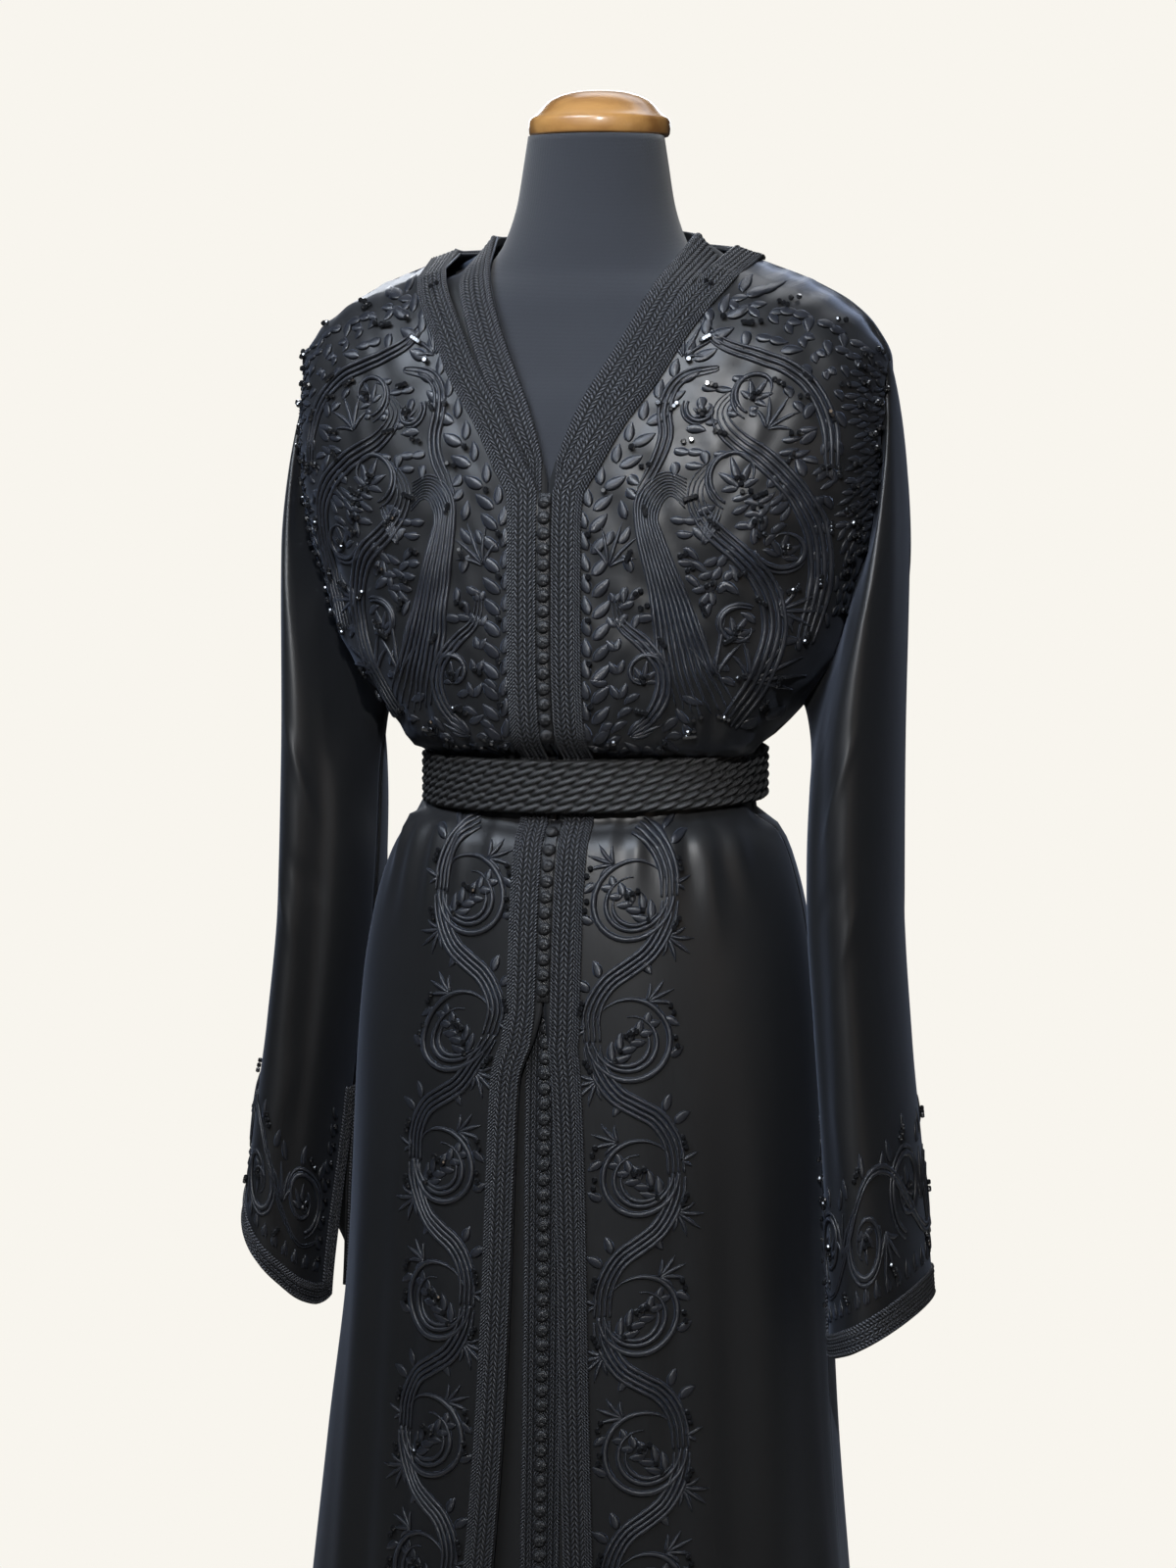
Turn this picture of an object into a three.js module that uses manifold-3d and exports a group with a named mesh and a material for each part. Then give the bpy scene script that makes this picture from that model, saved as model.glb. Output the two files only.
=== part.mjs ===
// Takchita, a two-piece formal gown, on a limbless dress form.
// Millimetres, +Z up, the front towards -Y, the floor at z = 0.
import * as THREE from "three";
import Module from "manifold-3d";

const wasm = await Module();
wasm.setup();

// Driving dimensions
const WALL = 1.6; // cloth wall
const SEAM = 0.25; // half of the gap at a seam
const LIFT = 0.35; // gap under what lies on the cloth
const UNDERARM = 1098; // level where the armhole starts
const SHOULDER = 1341; // level where the armhole ends
const NECK = 1408; // level of the outer neck edge
const INNER_NECK = 1420; // level of the inner neck edge
const BRAID_WIDE = 21; // flat braid with its edging cords
const INNER_BRAID_WIDE = 13;
const BUTTON_PITCH = 10.5;
const BUTTON_STRIP = 10; // width of the button strip
const FRONT_TOP = 1250; // level where the V of the outer neck closes
const FRONT_END = 905; // level where the outer front falls open
const BELT_LOW = 1030;
const BELT_HIGH = 1067;
const SLIT = 0.72; // place along the sleeve where its wrist slit starts

const SATIN = { color: 0x17181c, roughness: 0.38, metalness: 0 };
const CORD = { color: 0x121317, roughness: 0.6, metalness: 0 };
const FORM_CLOTH = { color: 0x464c5a, roughness: 0.95, metalness: 0 };
const WOOD = { color: 0xa8763e, roughness: 0.5, metalness: 0 };
const STEEL = { color: 0x2a2b2e, roughness: 0.45, metalness: 0.8 };

const group = new THREE.Group();
group.name = "takchita";

// Curves and surfaces

// A smooth curve through the values of a table's column, which never overshoots them.
function smooth(places, values) {
  const last = places.length - 1;
  const slope = [];
  for (let i = 0; i < last; i++) {
    slope.push((values[i + 1] - values[i]) / (places[i + 1] - places[i]));
  }
  const tangent = values.map((_, i) => {
    if (i === 0) return slope[0];
    if (i === last) return slope[last - 1];
    if (slope[i - 1] * slope[i] <= 0) return 0;
    return (2 * slope[i - 1] * slope[i]) / (slope[i - 1] + slope[i]);
  });
  return (place) => {
    const at = Math.min(Math.max(place, places[0]), places[last]);
    let i = 0;
    while (i < last - 1 && at > places[i + 1]) i++;
    const span = places[i + 1] - places[i];
    const t = (at - places[i]) / span;
    const rise = values[i + 1] - values[i];
    return (
      values[i] + rise * t * t * (3 - 2 * t)
      + span * t * (1 - t) * (tangent[i] * (1 - t) - tangent[i + 1] * t)
    );
  };
}

const smoothColumns = (rows) =>
  rows[0].map((_, k) => smooth(rows.map((row) => row[0]), rows.map((row) => row[k])));

const mix = (a, b, t) => a + (b - a) * t;
const clamp01 = (t) => Math.min(Math.max(t, 0), 1);
const ease = (t) => clamp01(t) ** 2 * (3 - 2 * clamp01(t));

// A body of level sections. Each row of a table gives:
// level, height at the side, height in front, height behind,
// half-width, depth in front, depth behind, squareness (2 is an ellipse), lean to the left.
// The angle is 0 in front and a right angle at the right-hand side.
function bodySurface(rows, folds = () => 0) {
  const [, side, front, back, wide, ahead, behind, square, lean] = smoothColumns(rows);
  return (angle, level) => {
    const s = Math.sin(angle);
    const c = Math.cos(angle);
    const power = 2 / square(level);
    const across = Math.sign(s) * Math.abs(s) ** power;
    const along = Math.abs(c) ** power;
    const swell = 1 + folds(angle, level) / wide(level);
    const depth = c > 0 ? -ahead(level) : behind(level);
    const height = c > 0 ? front(level) : back(level);
    return new THREE.Vector3(
      (wide(level) * across - lean(level) * s * s) * swell,
      depth * along * swell,
      side(level) * s * s + height * c * c,
    );
  };
}

// The outward normal of a surface that runs rightwards with its first value and up with its second.
function normalOf(surface, a, b, stepA, stepB) {
  const right = surface(a + stepA, b).sub(surface(a - stepA, b));
  const up = surface(a, b + stepB).sub(surface(a, b - stepB));
  return right.cross(up).normalize();
}

const bodyNormal = (surface, angle, level) => normalOf(surface, angle, level, 0.01, 2);

// level, side, front, back, half-width, ahead, behind, squareness, lean
const FORM_ROWS = [
  [735, 735, 735, 735, 140, 91, 98, 2.1, 0],
  [745, 745, 745, 745, 147, 97, 104, 2.1, 0],
  [800, 800, 800, 800, 150, 101, 107, 2.1, 0],
  [860, 860, 860, 860, 149, 103, 108, 2.1, 0],
  [920, 920, 920, 920, 141, 102, 104, 2.1, 0],
  [980, 980, 980, 980, 124, 94, 94, 2.1, 0],
  [1014, 1014, 1014, 1014, 109, 87, 86, 2, 0],
  [1045, 1045, 1045, 1045, 102, 82.5, 81.5, 2, 0],
  [1068, 1068, 1068, 1068, 104, 85, 82, 2, 0],
  [1090, 1090, 1090, 1090, 112, 92, 86, 2.1, 0],
  [1140, 1140, 1140, 1140, 126, 103, 90, 2.1, 0],
  [1190, 1190, 1190, 1190, 139, 111, 93, 2.1, 0],
  [1230, 1230, 1230, 1230, 155, 114, 95, 2.1, 0],
  [1270, 1270, 1270, 1270, 172, 107, 94, 2.2, 0],
  [1310, 1308, 1308, 1308, 180, 96, 90, 2.3, 0],
  [1340, 1334, 1330, 1336, 181, 83, 80, 2.3, 0],
  [1360, 1350, 1347, 1357, 172, 74, 73, 2.2, 0],
  [1376, 1366, 1364, 1375, 157, 66, 68, 2.1, 0],
  [1392, 1381, 1381, 1393, 134, 60, 65, 2, 0],
  [1404, 1390, 1392, 1404, 108, 54, 61, 2, 0],
  [1416, 1402, 1403, 1414, 82, 48, 58, 2, 0],
  [1430, 1421, 1423, 1430, 65, 44, 58, 2, 0],
  [1450, 1449, 1449, 1450, 56, 40, 60, 2, 0],
  [1475, 1475, 1475, 1475, 51.5, 37, 60, 2, 0],
  [1497, 1497, 1497, 1497, 48, 35, 58, 2, 0],
];

const OUTER_ROWS = [
  [14, 14, 14, 14, 238, 190, 212, 2, 16],
  [160, 160, 160, 160, 226, 178, 199, 2, 15],
  [300, 300, 300, 300, 214, 166, 186, 2, 14],
  [440, 440, 440, 440, 201, 154, 172, 2, 12.5],
  [560, 560, 560, 560, 189, 146, 160, 2, 11],
  [690, 690, 690, 690, 178, 139, 151, 2, 6.5],
  [830, 830, 830, 830, 171.5, 134, 142, 2, 4.7],
  [900, 900, 900, 900, 165.5, 130, 136, 2, 4.7],
  [950, 950, 950, 950, 157.5, 125, 129, 2, 4],
  [985, 985, 985, 985, 148, 119, 121, 2, 3],
  [1012, 1012, 1012, 1012, 134.5, 110.5, 111, 2, 1],
  [1025, 1025, 1025, 1025, 115.2, 95.6, 95.1, 2, 0],
  [1048, 1048, 1048, 1048, 117, 97, 97, 2, 0],
  [1071, 1071, 1071, 1071, 117.5, 98, 97.5, 2, 0],
  [1077, 1077, 1077, 1077, 128, 112, 107, 2, 0],
  [1085, 1085, 1085, 1085, 137, 119, 112, 2, 0],
  [1105, 1105, 1105, 1105, 155, 124, 116, 2.1, 0],
  [1137, 1137, 1137, 1137, 178, 127, 119, 2.2, 0],
  [1183, 1183, 1183, 1183, 194, 127, 119, 2.3, 0],
  [1225, 1225, 1225, 1225, 207, 126, 116, 2.4, 0],
  [1265, 1265, 1265, 1265, 211, 121, 112, 2.5, 0],
  [1303, 1303, 1303, 1303, 212, 112, 107, 2.6, 0],
  [1341, 1341, 1336, 1346, 211, 102, 101, 2.5, 0],
  [1362, 1364, 1360, 1372, 200, 93, 94, 2.4, 0],
  [1378, 1380, 1377, 1391, 184, 85, 88, 2.3, 0],
  [1392, 1395, 1390, 1406, 158, 76, 82, 2.1, 0],
  [1401, 1407, 1400, 1418, 128, 73, 80, 2, 0],
  [1408, 1417, 1406, 1426, 100, 70, 77, 2, 0],
];

const INNER_ROWS = [
  [30, 30, 30, 30, 222, 174, 196, 2, 14],
  [300, 300, 300, 300, 203, 155, 174, 2, 12],
  [560, 560, 560, 560, 180, 137, 150, 2, 9],
  [690, 690, 690, 690, 170, 131, 142, 2, 5],
  [830, 830, 830, 830, 164, 126, 134, 2, 4],
  [900, 900, 900, 900, 158, 121, 128, 2, 3],
  [950, 950, 950, 950, 149, 116, 120, 2, 3],
  [985, 985, 985, 985, 139, 110, 112, 2, 2],
  [1010, 1010, 1010, 1010, 125, 101, 102, 2, 1],
  [1025, 1025, 1025, 1025, 110.5, 90, 89.5, 2, 0],
  [1048, 1048, 1048, 1048, 109.5, 89.5, 89, 2, 0],
  [1071, 1071, 1071, 1071, 111, 91, 89.5, 2, 0],
  [1085, 1085, 1085, 1085, 119, 98, 93, 2, 0],
  [1105, 1105, 1105, 1105, 126, 104, 97, 2.1, 0],
  [1140, 1140, 1140, 1140, 136, 111, 99, 2.1, 0],
  [1183, 1183, 1183, 1183, 148, 118, 101, 2.2, 0],
  [1225, 1225, 1225, 1225, 163, 120, 103, 2.2, 0],
  [1265, 1265, 1265, 1265, 179, 114, 102, 2.3, 0],
  [1303, 1303, 1303, 1303, 193, 105, 99, 2.4, 0],
  [1341, 1340, 1335, 1344, 196, 92, 91, 2.5, 0],
  [1362, 1359, 1355, 1368, 187, 82, 83, 2.4, 0],
  [1378, 1375, 1373, 1385, 171, 74.5, 77, 2.2, 0],
  [1392, 1389, 1388, 1401, 147, 68, 72, 2.1, 0],
  [1401, 1398, 1399, 1411, 116, 61, 67, 2, 0],
  [1410, 1407, 1409, 1420, 91, 55, 63.5, 2, 0],
  [1420, 1428, 1426, 1437, 72, 50, 64, 2, 0],
];

// Soft lengthwise waves of the skirt: waves around, turn of the first crest, reach at the hem.
const SKIRT_WAVES = [
  [5, 0.4, 5],
  [8, 1.9, 4.5],
  [13, 0.2, 2.5],
];

function skirtFolds(angle, level) {
  const share = clamp01((1000 - level) / 990);
  let reach = 0;
  for (const [count, turn, size] of SKIRT_WAVES) {
    reach += size * share ** 1.3 * Math.cos(count * angle + turn);
  }
  return reach * ease(Math.abs(angle) / 0.35);
}

const formBody = bodySurface(FORM_ROWS);
const outerBody = bodySurface(OUTER_ROWS, skirtFolds);
const innerBody = bodySurface(INNER_ROWS, (angle, level) => 0.9 * skirtFolds(angle, level));
const outerWide = smoothColumns(OUTER_ROWS);
const innerWide = smoothColumns(INNER_ROWS);

// Closed walls

function meshOf(name, positions, faces, look) {
  const solid = new THREE.BufferGeometry();
  solid.setAttribute("position", new THREE.Float32BufferAttribute(positions, 3));
  solid.setIndex(faces);
  let volume = 0;
  const [a, b, c] = [new THREE.Vector3(), new THREE.Vector3(), new THREE.Vector3()];
  for (let i = 0; i < faces.length; i += 3) {
    a.fromArray(positions, 3 * faces[i]);
    b.fromArray(positions, 3 * faces[i + 1]);
    c.fromArray(positions, 3 * faces[i + 2]);
    volume += a.dot(b.cross(c));
  }
  if (volume < 0) {
    for (let i = 0; i < faces.length; i += 3) {
      [faces[i + 1], faces[i + 2]] = [faces[i + 2], faces[i + 1]];
    }
    solid.setIndex(faces);
  }
  solid.computeVertexNormals();
  const mesh = new THREE.Mesh(solid, new THREE.MeshStandardMaterial(look));
  mesh.name = name;
  group.add(mesh);
  return mesh;
}

// A wall from a grid of top points and a grid of bottom points of the same size.
function wallOf(name, top, bottom, look) {
  const rows = top.length;
  const columns = top[0].length;
  const positions = [];
  for (const grid of [top, bottom]) {
    for (const row of grid) for (const point of row) positions.push(point.x, point.y, point.z);
  }
  const index = (layer, i, j) => (layer * rows + i) * columns + j;
  const faces = [];
  const quad = (p, q, r, s) => faces.push(p, q, r, p, r, s);
  for (let i = 0; i < rows - 1; i++) {
    for (let j = 0; j < columns - 1; j++) {
      quad(index(0, i, j), index(0, i, j + 1), index(0, i + 1, j + 1), index(0, i + 1, j));
      quad(index(1, i, j), index(1, i + 1, j), index(1, i + 1, j + 1), index(1, i, j + 1));
    }
    quad(index(0, i, 0), index(0, i + 1, 0), index(1, i + 1, 0), index(1, i, 0));
    const end = columns - 1;
    quad(index(0, i, end), index(1, i, end), index(1, i + 1, end), index(0, i + 1, end));
  }
  for (let j = 0; j < columns - 1; j++) {
    quad(index(0, 0, j), index(1, 0, j), index(1, 0, j + 1), index(0, 0, j + 1));
    const end = rows - 1;
    quad(index(0, end, j), index(0, end, j + 1), index(1, end, j + 1), index(1, end, j));
  }
  return meshOf(name, positions, faces, look);
}

// A closed body of rings, capped at both ends or joined end to end.
function ringedBody(name, rings, look, joined = false) {
  const turns = rings[0].length;
  const positions = rings.flat().flatMap((point) => [point.x, point.y, point.z]);
  const faces = [];
  for (let i = 0; i < rings.length - (joined ? 0 : 1); i++) {
    for (let j = 0; j < turns; j++) {
      const k = (j + 1) % turns;
      const [p, q] = [i * turns, ((i + 1) % rings.length) * turns];
      faces.push(p + j, p + k, q + k, p + j, q + k, q + j);
    }
  }
  const caps = joined ? [] : [[0, false], [rings.length - 1, true]];
  for (const [ring, turned] of caps) {
    const middle = rings[ring]
      .reduce((sum, point) => sum.add(point), new THREE.Vector3())
      .divideScalar(turns);
    const centre = positions.length / 3;
    positions.push(middle.x, middle.y, middle.z);
    for (let j = 0; j < turns; j++) {
      const [p, q] = [ring * turns + j, ring * turns + ((j + 1) % turns)];
      faces.push(centre, ...(turned ? [p, q] : [q, p]));
    }
  }
  return meshOf(name, positions, faces, look);
}

const turnAngles = (turns) => Array.from({ length: turns }, (_, j) => (2 * Math.PI * j) / turns);
// A cloth panel: each cell of the grid holds a point and its outward normal.
function panelOf(name, grid, look, wall = WALL) {
  const top = grid.map((row) => row.map(({ point }) => point));
  const bottom = grid.map((row) =>
    row.map(({ point, normal }) => point.clone().addScaledVector(normal, -wall)),
  );
  return wallOf(name, top, bottom, look);
}

// The faces of panels, to set other things down on.
function facesOf(meshes) {
  const faces = [];
  for (const mesh of meshes) {
    const place = mesh.geometry.attributes.position;
    const order = mesh.geometry.index.array;
    for (let i = 0; i < order.length; i += 3) {
      const [a, b, c] = [0, 1, 2].map((k) =>
        new THREE.Vector3().fromBufferAttribute(place, order[i + k]),
      );
      const centre = a.clone().add(b).add(c).divideScalar(3);
      const reach = Math.max(a.distanceTo(centre), b.distanceTo(centre), c.distanceTo(centre));
      faces.push({ a, b, c, centre, reach });
    }
  }
  return faces;
}

const ray = new THREE.Ray();
const hit = new THREE.Vector3();
const DEEP = 9;
const STEEP = 2.5; // a higher step than this is another fold, not the cloth beneath

// The height of the cloth at a point, along its normal.
function clothHeight(point, normal, faces) {
  ray.origin.copy(point).addScaledVector(normal, DEEP);
  ray.direction.copy(normal).negate();
  let height = -DEEP;
  for (const face of faces) {
    if (face.centre.distanceTo(point) > face.reach + DEEP) continue;
    if (!ray.intersectTriangle(face.a, face.b, face.c, false, hit)) continue;
    height = Math.max(height, DEEP - hit.distanceTo(ray.origin));
  }
  return height > -DEEP ? height : null;
}

// Shares of a triangle's corners at which it is held clear of the cloth.
const PROBES = [
  [0.5, 0.5, 0],
  [0, 0.5, 0.5],
  [0.5, 0, 0.5],
  [0.8, 0.2, 0],
  [0.2, 0.8, 0],
  [0.34, 0.33, 0.33],
  [0.6, 0.2, 0.2],
  [0.2, 0.6, 0.2],
  [0.2, 0.2, 0.6],
];

// Lifts the cells of a piece until the triangles between them are clear of the cloth too.
function settle(cells, triangles, faces, lift) {
  for (let round = 0; round < 4; round++) {
    for (const triangle of triangles) {
      const corners = triangle.map((index) => cells[index]);
      for (const shares of PROBES) {
        const point = new THREE.Vector3();
        const normal = new THREE.Vector3();
        corners.forEach((cell, k) => {
          point.addScaledVector(cell.point, shares[k]);
          point.addScaledVector(cell.normal, shares[k] * cell.base);
          normal.addScaledVector(cell.normal, shares[k]);
        });
        const high = clothHeight(point, normal.normalize(), faces);
        const short = (high ?? -DEEP) + 0.6 * lift;
        if (short <= 0 || short > STEEP) continue;
        corners.forEach((cell, k) => {
          if (shares[k] > 0) cell.base += short;
        });
      }
    }
  }
}

// A strip that lies on the cloth. Place gives a point and normal for each row and column,
// and heights gives the relief above the lift for them.
function stripOf(name, rows, columns, place, heights, faces, look, lift = LIFT) {
  const cells = [];
  for (let i = 0; i < rows; i++) {
    for (let j = 0; j < columns; j++) {
      const cell = place(i, j);
      cell.base = (clothHeight(cell.point, cell.normal, faces) ?? 0) + lift + (cell.raise ?? 0);
      cells.push(cell);
    }
  }
  const triangles = [];
  for (let i = 0; i + 1 < rows; i++) {
    for (let j = 0; j + 1 < columns; j++) {
      const [p, q] = [i * columns + j, (i + 1) * columns + j];
      triangles.push([p, p + 1, q + 1], [p, q + 1, q]);
    }
  }
  settle(cells, triangles, faces, lift);
  const grid = (height) =>
    Array.from({ length: rows }, (_, i) =>
      Array.from({ length: columns }, (_, j) => {
        const { point, normal, base } = cells[i * columns + j];
        return point.clone().addScaledVector(normal, base + height(i, j));
      }),
    );
  return wallOf(name, grid(heights), grid(() => 0), look);
}

// Front panels

// level, distance of the panel's edge from the middle, on the left and on the right
const OUTER_EDGE = smoothColumns([
  [14, 80, 50],
  [300, 50, 30],
  [565, 27, 17],
  [674, 22, 13],
  [777, 19, 10],
  [848, 16, 6.6],
  [880, 5, 3],
  [900, 0.6, 0.6],
  [1236, 0.6, 0.6],
  [1253, 5, 5],
  [1270, 15, 15],
  [1303, 33, 33],
  [1337, 53, 53],
  [1370, 74, 74],
  [1395, 91, 91],
  [1408, 100, 100],
]);
const INNER_EDGE = smoothColumns([
  [30, 0.6],
  [1258, 0.6],
  [1270, 4],
  [1303, 15],
  [1337, 29],
  [1370, 46],
  [1402, 62],
  [1420, 72],
]);

// level at the front edge, level where the same row meets the side seam, armhole or shoulder
const OUTER_FALL = smoothColumns([
  [14, 14],
  [1098, 1098],
  [1130, 1125],
  [1170, 1155],
  [1212, 1190],
  [1253, 1225],
  [1305, 1265],
  [1357, 1303],
  [1408, 1341],
]);
const INNER_FALL = smoothColumns([
  [30, 30],
  [1140, 1140],
  [1212, 1183],
  [1262, 1225],
  [1315, 1265],
  [1370, 1303],
  [1420, 1341],
]);

// Half-opening of an armhole, as an angle either side of the side seam.
const armholeShare = (level, low, high) =>
  Math.sin(Math.PI * clamp01((level - low) / (high - low))) ** 0.6;

const OUTER_ARMHOLE = { low: UNDERARM, high: SHOULDER, ahead: 0.15, behind: 0.27 };
const INNER_ARMHOLE = { low: 1140, high: 1341, ahead: 0.45, behind: 0.42 };

// A dress: its surface, edges and armhole, as the panels share them.
const outerDress = {
  surface: outerBody,
  wide: outerWide[4],
  square: outerWide[7],
  edge: (side, level) => OUTER_EDGE[side < 0 ? 1 : 2](level),
  fall: OUTER_FALL[1],
  armhole: OUTER_ARMHOLE,
  neck: NECK,
  corner: 4 / 7,
  shoulder: smooth([0, 1 / 3, 2 / 3, 1], [NECK, 1397, 1374, SHOULDER]),
};
const innerDress = {
  surface: innerBody,
  wide: innerWide[4],
  square: innerWide[7],
  edge: (side, level) => INNER_EDGE[1](level),
  fall: INNER_FALL[1],
  armhole: INNER_ARMHOLE,
  neck: INNER_NECK,
  corner: 4 / 7,
  shoulder: smooth([0, 1 / 3, 2 / 3, 1], [INNER_NECK, 1402, 1377, 1341]),
};

const RIGHT_ANGLE = Math.PI / 2;

// The angle of a point on the front that is so far from the middle.
function angleAt(dress, distance, level) {
  const share = Math.min(distance / dress.wide(level), 1);
  return Math.asin(share ** (dress.square(level) / 2));
}

const sideAngle = (dress, level, reach) =>
  reach * armholeShare(level, dress.armhole.low, dress.armhole.high) + SEAM / dress.wide(level);

// Both ends of a front row, as angle and level.
function frontRow(dress, side, level) {
  const far = dress.fall(level);
  return {
    start: [angleAt(dress, dress.edge(side, level), level), level],
    end: [RIGHT_ANGLE - sideAngle(dress, far, dress.armhole.ahead), far],
  };
}

// A point of the front, a share of the way along a row.
function frontPoint(dress, side, level, share) {
  const { start, end } = frontRow(dress, side, level);
  return dress.surface(side * mix(start[0], end[0], share), mix(start[1], end[1], share));
}

const rowCache = new Map();

// Lengths along a front row, at even shares.
function rowLengths(dress, side, level) {
  const key = `${dress.neck} ${side} ${level.toFixed(3)}`;
  if (!rowCache.has(key)) {
    const steps = 40;
    const lengths = [0];
    let before = frontPoint(dress, side, level, 0);
    for (let i = 1; i <= steps; i++) {
      const next = frontPoint(dress, side, level, i / steps);
      lengths.push(lengths[i - 1] + next.distanceTo(before));
      before = next;
    }
    rowCache.set(key, lengths);
  }
  return rowCache.get(key);
}

// The share of a front row that is so many millimetres from its edge.
function shareAt(dress, side, level, distance) {
  const lengths = rowLengths(dress, side, level);
  const last = lengths.length - 1;
  if (distance >= lengths[last]) return 1;
  if (distance <= 0) return distance / lengths[1] / last;
  let i = 0;
  while (lengths[i + 1] < distance) i++;
  return (i + (distance - lengths[i]) / (lengths[i + 1] - lengths[i])) / last;
}

// How much longer a row is than the straight distance from the panel's edge.
function slant(dress, side, level) {
  const rise = frontPoint(dress, side, Math.min(level + 2, dress.neck), 0).sub(
    frontPoint(dress, side, level - 2, 0),
  );
  const along = frontPoint(dress, side, level, 0.05).sub(frontPoint(dress, side, level, 0));
  return 1 / Math.max(Math.sin(rise.angleTo(along)), 0.5);
}

// A place on the front: point and normal at so many millimetres from the edge of a row.
function onFront(dress, side, level, distance) {
  const share = shareAt(dress, side, level, distance);
  const { start, end } = frontRow(dress, side, level);
  const angle = side * mix(start[0], end[0], share);
  const height = mix(start[1], end[1], share);
  return { point: dress.surface(angle, height), normal: bodyNormal(dress.surface, angle, height) };
}

function frontPanel(name, dress, side, levels, columns, first, look) {
  const grid = levels.map((level) => {
    const length = rowLengths(dress, side, level).at(-1);
    const start = Math.min(first * slant(dress, side, level), 0.4 * length);
    const row = [onFront(dress, side, level, 0)];
    for (let j = 0; j <= columns; j++) {
      row.push(onFront(dress, side, level, mix(start, length, j / columns)));
    }
    return row;
  });
  return panelOf(name, grid, look);
}

// levels of the rows of the panels, from the hem up to the neck
const OUTER_LEVELS = [
  14, 150, 300, 440, 560, 680, 790, 880, 940, 985, 1010, 1025, 1048, 1071, 1079,
  1098, 1130, 1170, 1212, 1253, 1305, 1357, 1376, 1393, 1408,
];
const INNER_LEVELS = [
  30, 230, 430, 600, 750, 880, 950, 985, 1010, 1025, 1048, 1071, 1100, 1140, 1212, 1262, 1315,
  1370, 1388, 1404, 1420,
];

const outerFronts = {};
const innerFronts = {};
for (const [side, word] of [
  [-1, "left"],
  [1, "right"],
]) {
  innerFronts[side] = frontPanel(
    `inner_front_${word}`, innerDress, side, INNER_LEVELS, 4, INNER_BRAID_WIDE + 5, SATIN,
  );
  outerFronts[side] = frontPanel(
    `outer_front_${word}`, outerDress, side, OUTER_LEVELS, 7, BRAID_WIDE + 4, SATIN,
  );
}

// Back panels

// Angle and level of a point of the back: share 0 is its left edge, 1 its right, and level
// climbs as in front. The top row is the shoulder seams and the neck edge between them.
function backPlace(dress, share, level) {
  const low = dress.armhole.low;
  const half = Math.abs(share * 2 - 1);
  const sign = share < 0.5 ? -1 : 1;
  const plainAt = (height) => {
    const far = dress.fall(height);
    const edge = RIGHT_ANGLE + sideAngle(dress, far, dress.armhole.behind);
    return [mix(Math.PI, edge, half), far];
  };
  const plain = plainAt(level);
  const last = plainAt(dress.neck);
  const shoulder = dress.corner;
  const alongNeck = clamp01(half / shoulder);
  const alongShoulder = clamp01((half - shoulder) / (1 - shoulder));
  const seam = RIGHT_ANGLE + SEAM / dress.wide(dress.neck);
  const top = [mix(Math.PI, seam, alongNeck), dress.shoulder(alongShoulder)];
  const blend = clamp01((level - low) / (dress.neck - low)) ** 1.6;
  return [sign * (plain[0] + blend * (top[0] - last[0])), plain[1] + blend * (top[1] - last[1])];
}

function backPanel(name, dress, levels, columns, look) {
  const grid = levels.map((level) => {
    const row = [];
    for (let j = 0; j <= columns; j++) {
      const [angle, height] = backPlace(dress, j / columns, level);
      const inside = Math.min(height, dress.neck - 2);
      row.push({
        point: dress.surface(angle, height),
        normal: bodyNormal(dress.surface, angle, inside),
      });
    }
    return row;
  });
  return panelOf(name, grid, look);
}

const innerBack = backPanel("inner_back", innerDress, INNER_LEVELS, 14, SATIN);
const outerBack = backPanel("outer_back", outerDress, OUTER_LEVELS, 14, SATIN);

// Sleeves

// place along the sleeve, top height, underside height, outer reach, inner reach,
// middle from front to back, half-depth, bow of the front and back outwards
const SLEEVE_ROWS = smoothColumns([
  [0, 1341, 1100, 213, 158, 6, 36, 24],
  [0.06, 1318, 1085, 218, 159, 5, 46, 20],
  [0.15, 1272, 1062, 222, 160, 0, 60, 12],
  [0.3, 1180, 1010, 224, 160, -4, 70, 3],
  [0.45, 1080, 945, 223.5, 162, -8, 73, 0],
  [0.6, 975, 870, 224, 169, -11, 74, 0],
  [0.75, 880, 795, 231, 176, -15, 75, 0],
  [0.88, 800, 725, 241, 181, -18, 76, 0],
  [1, 722, 654, 249, 184, -20, 78, 0],
]);
// how far each cuff's top and underside lie from the table, and how far the sleeve stands out
const SLEEVE_SIDE = {
  "-1": { top: 14, under: 2, out: 2, in: 6, fold: 0.19, deep: 9 },
  1: { top: -38, under: -6, out: 0, in: -2, fold: 0.17, deep: 8 },
};
const ARMHOLE_LEVELS = OUTER_LEVELS.filter((level) => level >= UNDERARM).map(OUTER_FALL[1]);
const armholeLevel = smooth(
  ARMHOLE_LEVELS.map((_, i) => i / (ARMHOLE_LEVELS.length - 1)),
  ARMHOLE_LEVELS,
);

// The armhole, from the underarm (0) round the front to the shoulder (0.5) and down the back.
function armhole(side, turn) {
  const share = turn < 0.5 ? 2 * turn : 2 - 2 * turn;
  const own = armholeLevel(share);
  const level = Math.min(Math.max(own, UNDERARM + 3), SHOULDER - 1);
  const reach = turn < 0.5 ? -OUTER_ARMHOLE.ahead : OUTER_ARMHOLE.behind;
  const full = Math.abs(reach) * armholeShare(own, UNDERARM, SHOULDER);
  const open = Math.sign(reach) * Math.max(full - (4 * SEAM) / outerDress.wide(level), 0);
  return [side * (RIGHT_ANGLE + open), level];
}

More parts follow.
